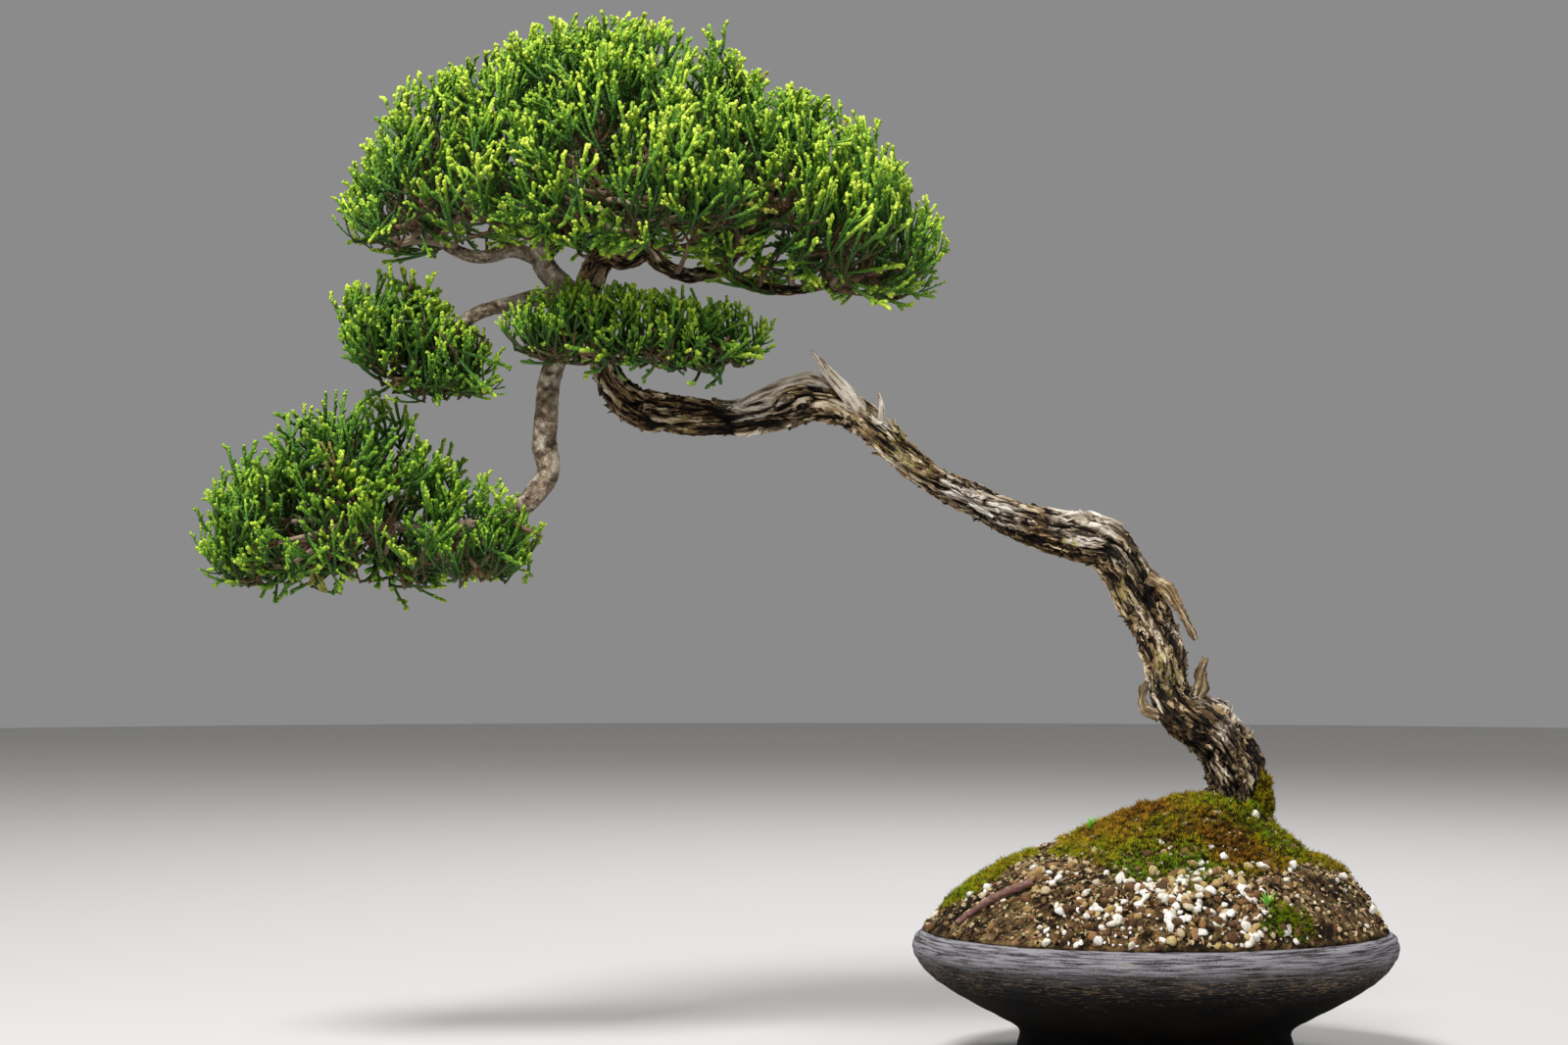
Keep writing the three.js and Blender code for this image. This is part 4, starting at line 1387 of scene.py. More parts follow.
# ---- trunk
TRUNK: Route = [
    [34, 0, 74, 14], [32, 0, 88, 14], [31, 0, 99, 13.2], [32, -1, 113, 12], [27, -3, 126, 12.4],
    [19, -4, 136.5, 12], [10, -4, 144, 10.8], [6, -2, 153, 9.6], [4, 0, 164, 9.4], [0, 3, 176, 9.8],
    [-7, 5, 190, 10], [-13, 7, 202, 10.2], [-20, 7, 210.5, 10.7], [-31, 6, 213.5, 9.8],
    [-45, 4, 217.5, 8.8], [-60, 2, 223, 8.1], [-76, -1, 230, 7.6], [-92, -3, 239, 7],
    [-107, -4, 250, 7.1], [-118, -3, 260, 7.6], [-129, 0, 267, 8], [-142, 2, 269, 8.7],
    [-157, 3, 265, 8.1], [-173, 3, 263, 7.7], [-190, 4, 264, 8.2], [-206, 5, 266.5, 8.4],
    [-217, 6, 271.5, 7.9], [-224, 7, 280, 7.2], [-228, 8, 292, 6.9], [-231, 9, 305, 6.4],
    [-235, 8, 315, 5.6],
]


@dataclass
class Trunk:
    """The bent trunk: lobed, fissured and flaking, with bare wood on top of its bends."""

    steps: int = 600
    sides: int = 136
    flakes: int = 1400
    flake_thickness: float = 0.5
    twist: float = 0.011
    trim: float = 0.0011
    roughness: float = 0.66
    girth: float = 9.0
    least: float = 0.0025
    seed: int = 7
    bare_spots: tuple[Spot, ...] = (
        Spot(-172, -6, 270, 8), Spot(-162, -7, 271, 8), Spot(-24, -3, 221, 9), Spot(-36, -3, 221, 7),
        Spot(-15, -8, 207, 6), Spot(12, -9, 176, 7), Spot(14, -8, 186, 5), Spot(-112, -8, 262, 6),
        Spot(-60, -8, 222, 7), Spot(-72, -8, 225, 7), Spot(-84, -9, 232, 6), Spot(28, -12, 136, 6),
        Spot(-30, -6, 216, 7), Spot(20, -12, 150, 5),
    )
    lichen_spots: tuple[Spot, ...] = (
        Spot(5, -10, 158, 8), Spot(-9, -8, 194, 9), Spot(-106, -9, 256, 9), Spot(-97, -9, 247, 8),
        Spot(-196, -6, 262, 7), Spot(-34, -6, 212, 7),
    )
    swellings: tuple[tuple[Spot, float], ...] = (
        (Spot(46, -4, 124, 12), 3.2), (Spot(24, -12, 137, 9), 2.4), (Spot(-152, 0, 276, 13), 2.6),
        (Spot(-27, 0, 222, 10), 2.0), (Spot(-210, -2, 262, 9), 1.6), (Spot(14, -8, 120, 9), -2.6),
        (Spot(0, -8, 180, 8), -1.8), (Spot(16, -6, 158, 8), -2.2), (Spot(-70, -8, 226, 7), -1.2),
        (Spot(20, 0, 100, 7), 1.6), (Spot(-160, -8, 266, 7), -1.6),
    )

    def __post_init__(self) -> None:
        """Draws the centre line."""
        self.path = Path.drawn(TRUNK, self.steps)
        self.length = self.path.along[-1] / MM

    def relief(self, share: Array, angle: Array, points: Array) -> tuple[Array, Values]:
        """How far the bark stands off the plain radius.

        Args:
            share: shares of the trunk's length.
            angle: angles round it.
            points: the plain surface's points.

        Returns:
            The height in metres, and the tone, bare, lichen and grain values.
        """
        down = share * self.length
        around = angle + down * self.twist + 0.35 * np.sin(down * 0.03)

        def skin(across: float, along: float) -> Array:
            """Places on the bark in cells so many millimetres across and along the grain."""
            level = [np.cos(around) * self.girth / across, np.sin(around) * self.girth / across]
            return np.stack([*level, down / along], axis=-1)

        low = bump(down, 48, 30)
        around = around + 0.20 * fractal(skin(6, 11), 78, 2)
        down = down + 2.6 * fractal(skin(5, 9), 79, 2)
        lobes = 1.2 * np.cos(3 * around + 0.6 * np.sin(down * 0.02)) + 2.0 * fractal(skin(10, 26), 80)
        split = bump(fractal(skin(6.5, 48), 81), 0, 0.030)
        check = bump(fractal(skin(3.0, 26), 84), 0, 0.040)
        edge, own, place = plates(skin(3.3, 17.0), 87)
        crack = bump(edge, 0, 0.09)
        fine_edge, fine_own, fine_place = plates(skin(1.5, 5.5), 95)
        fine_crack = bump(fine_edge, 0, 0.13)
        fibre = fractal(skin(0.9, 8), 93, 2)
        height = (
            lobes + 0.95 * own * (1 + low) + 0.9 * place - 1.1 * crack + 0.42 * fine_own + 0.35 * fine_place
            - 0.35 * fine_crack + 0.22 * fibre - 3.0 * split - 1.1 * check
        )
        height = (height + low * 1.6 * fractal(skin(4.5, 9), 99)) * self.roughness
        for spot, size in self.swellings:
            height = height + size * spot.over(points)
        # The tone falls in the splits, checks and cracks that the height cuts in: the crevices' dark is
        # partly the bark's own and partly painted shade.
        tone = (
            0.58 + 0.20 * own + 0.14 * fine_own + 0.34 * fibre + 0.20 * place - 0.70 * split - 0.42 * check
            - 0.46 * crack - 0.28 * fine_crack - 0.15 * low + 0.09 * ramp(down, 190, 260)
        )
        bare = np.clip(sum(spot.over(points) for spot in self.bare_spots) * 1.6 - 0.3 + 0.5 * own, 0, 1)
        bare = bare * (1 - split) * (1 - 0.6 * crack)
        lichen = np.clip(sum(spot.over(points) for spot in self.lichen_spots) * 1.3, 0, 1)
        values = {"tone": tone, "bare": bare, "lichen": lichen, "grain": skin(1.0, 14.0)}
        return height * MM - self.trim, values

    def surface(
        self, share: Array, angle: Array, lift: Array | float = 0.0,
    ) -> tuple[Array, Values]:
        """Points on the bark, with their values.

        Args:
            share: shares of the length.
            angle: angles round.
            lift: metres to stand off the bark.

        Returns:
            The points and the values.
        """
        centre, normal, binormal, radius = self.path.at(share)
        out = normal * np.cos(angle)[..., None] + binormal * np.sin(angle)[..., None]
        plain = centre + out * radius[..., None]
        height, values = self.relief(share, angle, plain)
        height = np.maximum(height, self.least - radius)
        return plain + out * (height + lift)[..., None], values

    def bark(self) -> Shape:
        """The trunk's whole skin, closed at both ends."""
        return capped(*self.surface(*tube_grid(np.linspace(0, 1, self.steps), self.sides)))

    def flaking(self) -> Shape:
        """Thin strips of loose bark that follow the grain and lift at their ends, most on the low bend."""
        rng = np.random.default_rng(self.seed)
        count, rows, columns = self.flakes, 7, 3
        low = rng.random(count) < 0.45
        share = np.where(low, rng.uniform(0.04, 0.30, count), rng.uniform(0.05, 0.97, count))
        angle = rng.random(count) * TURN
        length = np.where(low, rng.uniform(3, 10, count), rng.uniform(4, 17, count))
        width = rng.uniform(0.8, 3.6, count)
        lift = rng.random(count) ** 3 * 2.2
        along = np.linspace(-1, 1, rows)
        across = np.linspace(-1, 1, columns)
        ragged = np.clip(1 + 0.30 * rng.normal(size=(count, rows)), 0.3, 2)
        taper = np.sqrt(np.clip(1 - 0.92 * along**2, 0.04, 1)) * ragged
        down = np.clip(share[:, None] + along * length[:, None] / 2 / self.length, 0.002, 0.998)
        radius = np.interp(share, np.linspace(0, 1, self.steps), self.path.radii) / MM
        drift = (share[:, None] - down) * self.length * self.twist + 0.03 * rng.normal(size=(count, rows))
        half = (taper * (width / 2 / radius)[:, None])[..., None]
        angles = (angle[:, None] + drift)[..., None] + across * half
        shares = np.repeat(down[..., None], columns, axis=2)
        tail = np.where(along > 0, 1, rng.uniform(0, 1, (count, 1)))
        rise = (0.25 + lift[:, None] * np.abs(along) ** 3 * tail)[..., None] + 0.22 * (1 - across**2)
        top, values = self.surface(shares, angles, rise * MM)
        base, _ = self.surface(shares, angles, (rise - self.flake_thickness) * MM)
        shade = np.clip(values["tone"] * 0.4 + rng.uniform(0.05, 0.62, count)[:, None, None], 0, 1.2)
        # Each flake's underside takes 0.6 of its tone: painted shade under the flake.
        spread = {
            "tone": np.concatenate([shade, shade[:, :, ::-1] * 0.6], axis=2),
            "bare": np.concatenate([values["bare"]] * 2, axis=2),
            "lichen": np.concatenate([values["lichen"]] * 2, axis=2),
            "grain": np.concatenate([values["grain"], values["grain"][:, :, ::-1]], axis=2),
        }
        return capped_each(np.concatenate([top, base[:, :, ::-1]], axis=2), spread)

    def build(self, workshop: Workshop) -> None:
        """Makes the trunk's skin and its loose bark."""
        workshop.settle(self.bark().made("trunk_bark"), Bark(), Slot.BARK, "trunk")
        workshop.settle(self.flaking().made("trunk_flakes", False), Bark(), Slot.BARK)


@dataclass
class TrunkMoss:
    """Yellow-green moss that climbs the right of the trunk's foot."""

    tufts: int = 1500
    kinds: int = 5
    rows: int = 22
    columns: int = 40
    tuck: Triple = (-0.0030, 0.0, -0.0030)
    slim: Triple = (0.95, 0.95, 1.0)
    seed: int = 77

    def build(self, workshop: Workshop) -> None:
        """Makes a lumpy cushion in the CAD node's box and covers it with leaves."""
        low, high = box_of("trunk_moss")
        rng = np.random.default_rng(self.seed)
        middle = (low + high) / 2 + np.array(self.tuck)
        half = (high - low) / 2 * np.array(self.slim)
        polar, angle = tube_grid(np.linspace(0.06, math.pi - 0.06, self.rows), self.columns)
        level = [np.sin(polar) * np.cos(angle), np.sin(polar) * np.sin(angle)]
        ball = np.stack([*level, -np.cos(polar)], axis=-1)
        swell = 0.85 + 0.55 * fractal(ball * 2.8, 14)
        rings = middle + ball * half * swell[..., None]
        # The cushion's tip value of 0.3 gives it part of the moss's painted shade under the leaves.
        body = capped(rings, {"tip": np.full(polar.shape, 0.3), "green": np.full(polar.shape, 0.46)})
        ways = unit(rng.normal(size=(self.tufts, 3)))
        spots = middle + ways * half * (0.83 + 0.55 * fractal(ways * 2.8, 14))[:, None]
        kinds = [tuft(rng) for _ in range(self.kinds)]
        pick = rng.integers(self.kinds, size=self.tufts)
        turns = facing(ways + UP * 0.3, rng.random(self.tufts) * TURN)
        sizes = rng.uniform(0.7, 1.2, self.tufts)
        green = np.clip(rng.normal(0.52, 0.10, self.tufts), 0, 1)
        leaves = scattered(kinds, pick, spots, turns, sizes, {"green": green})
        workshop.settle(joined([body, leaves]).made("trunk_moss_tufts"), Moss(), Slot.MOSS, "trunk_moss")


# ---- branches
class Skin(Enum):
    """How a branch's bark looks."""

    SMOOTH = "smooth"
    ROUGH = "rough"
    BARE = "bare"
    STRIP = "strip"


WOODS: dict[Skin, tuple[Finish, Slot]] = {
    Skin.SMOOTH: (SmoothBark(), Slot.SMOOTH_BARK),
    Skin.ROUGH: (Bark(), Slot.BARK),
    Skin.BARE: (Deadwood(), Slot.DEADWOOD),
    Skin.STRIP: (Bark(), Slot.DEADWOOD),
}


@dataclass
class Branch:
    """One branch or piece of dead wood: a drawn route and its kind of bark."""

    node: str
    skin: Skin
    route: Route
    sides: int = 40
    step: float = 0.0006
    fewest: int = 24

    def relief(self, angle: Array, down: Array) -> tuple[Array, Array]:
        """The bark's rings, scales, checks or ragged edge.

        Args:
            angle: angles round the branch.
            down: millimetres along it.

        Returns:
            How far the bark swells, as a share of the radius, and its tone.
        """
        seed = sum(map(ord, self.node))
        around = on_ring(angle)
        along = down[..., None] * UP
        if self.skin is Skin.SMOOTH:
            drift = down + 1.6 * lattice(around * 1.3 + along * 0.05, seed)
            ring = bump(lattice((drift * 0.46)[..., None] * UP, seed + 1), 0, 0.13)
            swell = 0.17 * fractal(around * 1.1 + along * 0.11, seed + 2) + 0.040 * ring
            return swell, 0.82 - 0.36 * ring + 0.75 * fractal(around * 2.4 + along * 0.45, seed + 3)
        if self.skin is Skin.ROUGH:
            scales = fractal(around * 2.4 + along * 0.33, seed, 3)
            split = bump(fractal(around * 1.6 + along * 0.10, seed + 4), 0, 0.10)
            swell = 0.22 * scales + 0.10 * fractal(around * 5 + along * 0.9, seed + 6, 2) - 0.16 * split
            return swell, 0.50 + 0.45 * scales - 0.45 * split
        if self.skin is Skin.STRIP:
            ragged = 1 + 0.45 * fractal(along * 0.45, seed) + 0.20 * fractal(along * 1.4 + around, seed + 3)
            swell = np.hypot(1.75 * np.cos(angle) * ragged, 0.62 * np.sin(angle)) - 1
            return swell, 0.56 + 0.40 * fractal(around * 3 + along * 0.2, seed + 8)
        checks = bump(fractal(around * 3.0 + along * 0.05, seed, 2), 0, 0.12)
        swell = 0.14 * fractal(around * 1.2 + along * 0.06, seed + 5) - 0.16 * checks
        return swell, 0.80 - 0.65 * checks + 0.25 * fractal(around * 6 + along * 0.1, seed + 7, 2)

    def build(self, workshop: Workshop) -> None:
        """Makes the branch with its bark and hands it over."""
        length = np.linalg.norm(np.diff(placed(self.route), axis=0), axis=1).sum()
        path = Path.drawn(self.route, max(self.fewest, int(length / self.step)))
        down, angle = tube_grid(path.along / MM, self.sides)
        swell, tone = self.relief(angle, down)
        values = {"tone": tone}
        if self.skin in (Skin.ROUGH, Skin.STRIP):
            zero = np.zeros_like(tone)
            grain = on_ring(angle) * 3 + down[..., None] * UP / 6
            values |= {"bare": zero, "lichen": zero, "grain": grain}
        shape = capped(path.rings(path.radii[:, None] * (1 + swell), angle), values)
        workshop.settle(shape.made(self.node + "_wood"), *WOODS[self.skin], self.node)


BRANCHES = [
    Branch("fork_left", Skin.SMOOTH, [
        [-231, 8, 311, 4.4], [-239, 5, 314, 5], [-246, 2, 319, 5.1], [-252, 1, 327, 4.6],
        [-254, 3, 338, 3.8], [-249, 8, 352, 3], [-243, 9, 367, 2.4], [-237, 6, 386, 1.4],
    ]),
    Branch("fork_right", Skin.ROUGH, [
        [-234, 8, 313, 4.2], [-227, 4, 328, 3.8], [-218, 1, 328, 3.6], [-209, -1, 331, 3.4],
        [-203, -2, 326, 3.2], [-192, -1, 322, 3], [-178, 1, 324, 2.8], [-169, 2, 319, 2.6],
        [-152, 1, 316, 2.2], [-134, -2, 318, 1.6],
    ]),
    Branch("drop_branch", Skin.SMOOTH, [
        [-230, 8, 300, 4.2], [-239, 5, 299, 4.6], [-246, 2, 290, 4.6], [-250, 1, 277, 4.4],
        [-251, 0, 264, 4.8], [-252, -1, 252, 5.3], [-250, -2, 241, 5], [-256, -4, 231, 4.4],
        [-264, -5, 225, 3.6], [-281, -6, 219, 2.9], [-301, -8, 217, 2.4], [-327, -8, 222, 1.4],
    ]),
    Branch("left_branch", Skin.SMOOTH, [
        [-238, 7, 308, 3.6], [-252, 1, 313, 3.6], [-266, -4, 310, 3.2], [-279, -7, 306, 2.9],
        [-286, -9, 300, 2.7], [-291, -9, 292, 2.4], [-300, -10, 282, 1.4],
    ]),
    Branch("front_branch", Skin.ROUGH, [
        [-227, 7, 296, 3], [-222, -9, 294, 2.8], [-211, -20, 293, 2.4], [-194, -26, 296, 1.4],
    ], sides=28),
    Branch("crown_limb_left", Skin.SMOOTH, [
        [-252, 1, 328, 3.2], [-264, -3, 332, 3], [-278, -6, 329, 2.7], [-292, -6, 334, 2.1],
        [-306, -4, 344, 1.2],
    ], sides=32),
    Branch("crown_limb_front", Skin.ROUGH, [
        [-250, 2, 332, 3], [-244, -16, 336, 2.7], [-234, -35, 342, 2.2], [-224, -50, 352, 1.3],
    ], sides=28),
    Branch("crown_limb_back", Skin.ROUGH, [
        [-238, 9, 316, 3], [-234, 24, 328, 2.7], [-227, 42, 340, 2.2], [-219, 56, 354, 1.3],
    ], sides=28),
    Branch("crown_limb_top", Skin.ROUGH, [
        [-209, -1, 331, 2.8], [-208, 2, 344, 2.5], [-203, 4, 360, 2], [-198, 3, 382, 1.2],
    ], sides=28),
    Branch("crown_limb_right", Skin.ROUGH, [
        [-180, 1, 323, 2.4], [-172, -3, 333, 2.2], [-162, -7, 346, 1.8], [-154, -9, 362, 1.1],
    ], sides=28),
    Branch("jin_spike", Skin.BARE, [
        [-120, -2, 262, 4.6], [-126, -5, 272, 3.6], [-134, -6, 281, 2.7], [-142, -7, 291, 0.7],
    ], sides=36, step=0.0005),
    Branch("shari_strand", Skin.BARE, [
        [-129, 1, 273, 2.6], [-141, 0, 279, 3.3], [-151, 0, 277.5, 3], [-163, 0, 272.5, 2.4],
        [-173, 0, 268, 1.2],
    ], sides=36, step=0.0005),
    Branch("jin_stub", Skin.BARE, [
        [-113, -7, 262, 1.6], [-113, -11, 267, 1.3], [-114, -12, 273, 0.6],
    ], sides=20, step=0.0005),
    Branch("bark_peel_high", Skin.STRIP, [
        [-3, -4, 198, 1.7], [4, -6, 193, 1.5], [10.5, -7, 183, 1.3], [16, -7, 172, 0.7],
    ], sides=24, step=0.0004),
    Branch("bark_peel_low", Skin.STRIP, [
        [15, -7, 146, 1.9], [18, -9, 152, 1.7], [18, -9, 159, 1.3], [20, -9, 165, 0.6],
    ], sides=24, step=0.0004),
    Branch("bark_peel_left", Skin.STRIP, [
        [1, -8, 141, 1.5], [-5, -9, 144, 1.4], [-6, -9, 150, 1.2], [-4, -8, 155, 0.7],
    ], sides=24, step=0.0004),
]


# ---- foliage
@dataclass
class Spray:
    """A spray of scale-leaf cords that curl up: a leader, a few side shoots, and short blunt side tips."""

    length: float = 0.0265
    thick: float = 0.00083
    sides: int = 5
    ring: float = 0.0029
    ripening: float = 1.35

    def strand(self, start: Array, way: Array, bend: Array, length: float, ages: Pair) -> Shape:
        """One cord.

        Args:
            start: its foot.
            way: its first direction.
            bend: what its direction turns towards.
            length: its length in metres.
            ages: the age value at its foot and its tip.

        Returns:
            The cord, a little beaded, with a round tip.
        """
        count = max(2, int(round(length / self.ring)))
        tip = self.thick * 0.75 / length
        share = np.append(np.linspace(0, 1 - tip, count), 1.0)
        way = way / np.linalg.norm(way)
        points = start + length * (way * share[:, None] + bend * (share**2)[:, None] * 0.5)
        radii = self.thick * np.where(np.arange(count + 1) % 2 == 0, 0.84, 1.0) * (0.84 + 0.18 * share)
        radii[-2:] = self.thick * np.array([1.06, 0.58])
        turns = facing(unit(np.gradient(points, axis=0)), np.zeros(count + 1))
        circle = on_ring(round_angles(self.sides))
        rings = points[:, None] + np.einsum("nij,sj->nsi", turns, circle) * radii[:, None, None]
        age, _ = tube_grid(ages[0] + (ages[1] - ages[0]) * share**self.ripening, self.sides)
        return capped(rings, {"age": age})

    def budded(self, rng: Rng, start: Array, way: Array, bend: Array, length: float,
               ages: Pair, buds: int) -> list[Shape]:
        """A cord with short side tips on its outer half.

        Args:
            rng: the source of the side tips.
            start: the cord's foot.
            way: its first direction.
            bend: what its direction turns towards.
            length: its length in metres.
            ages: the age value at its foot and its tip.
            buds: how many side tips it has.

        Returns:
            The cord and its side tips.
        """
        way = way / np.linalg.norm(way)
        cords = [self.strand(start, way, bend, length, ages)]
        swing = rng.random() * TURN
        for number in range(buds):
            at = 0.97 - 0.42 * (number + rng.uniform(0.15, 0.85)) / buds
            spot = start + length * (way * at + bend * at**2 * 0.5)
            along = way + bend * at
            along /= np.linalg.norm(along)
            swing += math.pi * rng.uniform(0.75, 1.25)
            out = facing(along[None], np.array([swing]))[0][:, 0]
            small = rng.uniform(0.0020, 0.0038) * (1.25 - 0.5 * at)
            age = ages[0] + (ages[1] - ages[0]) * at**self.ripening
            ripe = min(max(age + 0.25, 0.72), 1.0)
            cords.append(self.strand(spot, out * 0.85 + along * 0.95, along * 0.6, small, (age, ripe)))
        return cords

    def grown(self, rng: Rng) -> tuple[Shape, Array]:
        """One spray.

        Args:
            rng: the source of its shoots and bends.

        Returns:
            The spray, rising from the origin along +Z and curling to +Y, and the place of its tip.
        """
        length = self.length * rng.uniform(0.85, 1.15)
        bend = np.array([rng.normal(0, 0.22), rng.uniform(0.45, 1.35), 0.0])
        cords = self.budded(rng, np.zeros(3), UP, bend, length, (0.12, 1.0), int(rng.integers(2, 5)))
        turn = rng.random() * TURN
        shoots = int(rng.integers(2, 4))
        for number in range(shoots):
            share = 0.08 + 0.62 * (number + rng.uniform(0.1, 0.9)) / shoots
            turn += math.pi + rng.normal(0, 0.6)
            out = np.array([math.cos(turn), 0.6 * math.sin(turn) + 0.15, 0.0])
            foot = length * (UP * share + bend * share**2 * 0.5)
            reach = min(max(length * (1.08 - share) * rng.uniform(0.60, 0.95), 0.0060), 0.0190)
            curl = np.array([-0.35 * out[0], 0.55, 0.55])
            cords += self.budded(rng, foot, out * 0.85 + (UP + bend * share) * 0.70, curl, reach,
                                 (0.14 + 0.45 * share, rng.uniform(0.88, 1.0)), int(reach / 0.0055))
        return joined(cords), length * (UP + bend * 0.5)


@dataclass
class Pad:
    """The place of one pad of foliage, from its CAD node's box."""

    node: str
    sag: float = 0.0
    wide: float = 1.0
    cap: float = 0.0
    flat: float = 0.30

    def __post_init__(self) -> None:
        """Reads the box, and fits the pad's lower and upper reach, its width and its cap to it."""
        low, high = box_of(self.node)
        self.half = (high - low) / 2 * np.array([self.wide, 1.0, 1.0])
        self.middle = (low + high) / 2
        self.middle[2] = low[2] + (high[2] - low[2]) * self.flat
        self.up = high[2] - self.middle[2] - self.cap
        self.down = self.middle[2] - low[2] + self.sag

    def depth(self, points: Array) -> Array:
        """How far out each point is, 1 being the pad's surface."""
        off = points - self.middle
        tall = np.where(off[:, 2] > 0, self.up, self.down)
        half = np.stack([tall * 0 + self.half[0], tall * 0 + self.half[1], tall], axis=1)
        return np.linalg.norm(off / half, axis=1)


@dataclass
class Clump:
    """Pads that grow together into one cloud."""

    pads: tuple[Pad, ...]
    limbs: tuple[str, ...]
    sprays: int
    under: float = 0.35
    ripe: float = 1.0
    fall: float = 2.0
    probe: float = 0.003
    tries: int = 90
    crust: float = 0.26

    def __post_init__(self) -> None:
        """Finds where twigs may leave the limbs."""
        routes = [branch.route for branch in BRANCHES if branch.node in self.limbs]
        self.limb_spots = np.concatenate([Path.drawn(route, 24).points[7:] for route in routes])

    def fullness(self, points: Array) -> Array:
        """How deep in the cloud each point is, more being deeper."""
        return sum(np.exp(-self.fall * pad.depth(points) ** 2) for pad in self.pads)

    def outward(self, points: Array) -> Array:
        """The way out of the cloud at each point."""
        steps = np.eye(3) * self.probe
        slopes = [self.fullness(points + step) - self.fullness(points - step) for step in steps]
        slope = np.stack(slopes, axis=1)
        return -slope / (np.linalg.norm(slope, axis=1)[:, None] + 1e-9)

    def tips(self, rng: Rng) -> tuple[Array, Array, Array, Array]:
        """Where the sprays' tips come.

        Args:
            rng: the source of the places.

        Returns:
            The tips, the way each spray grows, how deep each is from 0 to 1, and which pad each belongs to.
        """
        low = np.min([pad.middle - np.array([*pad.half[:2], pad.down]) for pad in self.pads], axis=0)
        high = np.max([pad.middle + np.array([*pad.half[:2], pad.up]) for pad in self.pads], axis=0)
        spots = low + (high - low) * rng.random((self.sprays * self.tries, 3))
        full = self.fullness(spots)
        surface = math.exp(-self.fall)
        deep = np.clip((full / surface - 1) / 5.0, 0, 1)
        liking = np.where(full < surface, 0, np.where(deep < self.crust, 1.0, 0.22 * (deep < 0.95)))
        out = self.outward(spots)
        liking = liking * np.clip(0.9 + 0.9 * out[:, 2], self.under, 1)
        liking = liking * np.clip(0.80 + 1.1 * fractal(spots * 48, 95, 2), 0.18, 1)
        keep = np.flatnonzero(rng.random(len(spots)) < liking)[: self.sprays]
        spots, out, deep = spots[keep], out[keep], deep[keep]
        rising = 0.10 + 0.42 * ramp(out[:, 2], -0.6, 0.1)
        grow = out * np.array([1.0, 1.0, 0.70]) + rising[:, None] * UP + rng.normal(0, 0.28, spots.shape)
        own = np.argmin([pad.depth(spots) for pad in self.pads], axis=0)
        return spots, unit(grow), deep, own


CLUMPS = [
    Clump(
        (Pad("pad_crown_top", 0.026), Pad("pad_crown_left", 0.024), Pad("pad_crown_right", 0.031, 1.1),
         Pad("pad_crown_far_left", 0.005), Pad("pad_crown_far_right", 0.004, 1.1),
         Pad("pad_crown_front", 0.013), Pad("pad_crown_back", 0.007)),
        ("fork_left", "fork_right", "crown_limb_left", "crown_limb_front", "crown_limb_back",
         "crown_limb_top", "crown_limb_right"),
        sprays=980, under=0.45,
    ),
    Clump(
        (Pad("pad_middle_left", 0.0, 1.3, 0.003), Pad("pad_middle_right", 0.0, 1.25, 0.001)),
        ("front_branch",), sprays=190, under=0.5, ripe=0.94,
    ),
    Clump(
        (Pad("pad_left_high", 0.003, 1.15, -0.004), Pad("pad_left_low", 0.002, 1.1)),
        ("left_branch",), sprays=125, under=0.6, ripe=0.94,
    ),
    Clump(
        (Pad("pad_low_outer", 0.0, 1.1), Pad("pad_low_inner", 0.0, 1.1), Pad("pad_low_top", 0.010, 1.1)),
        ("drop_branch",), sprays=350, under=0.7, ripe=0.92,
    ),
]


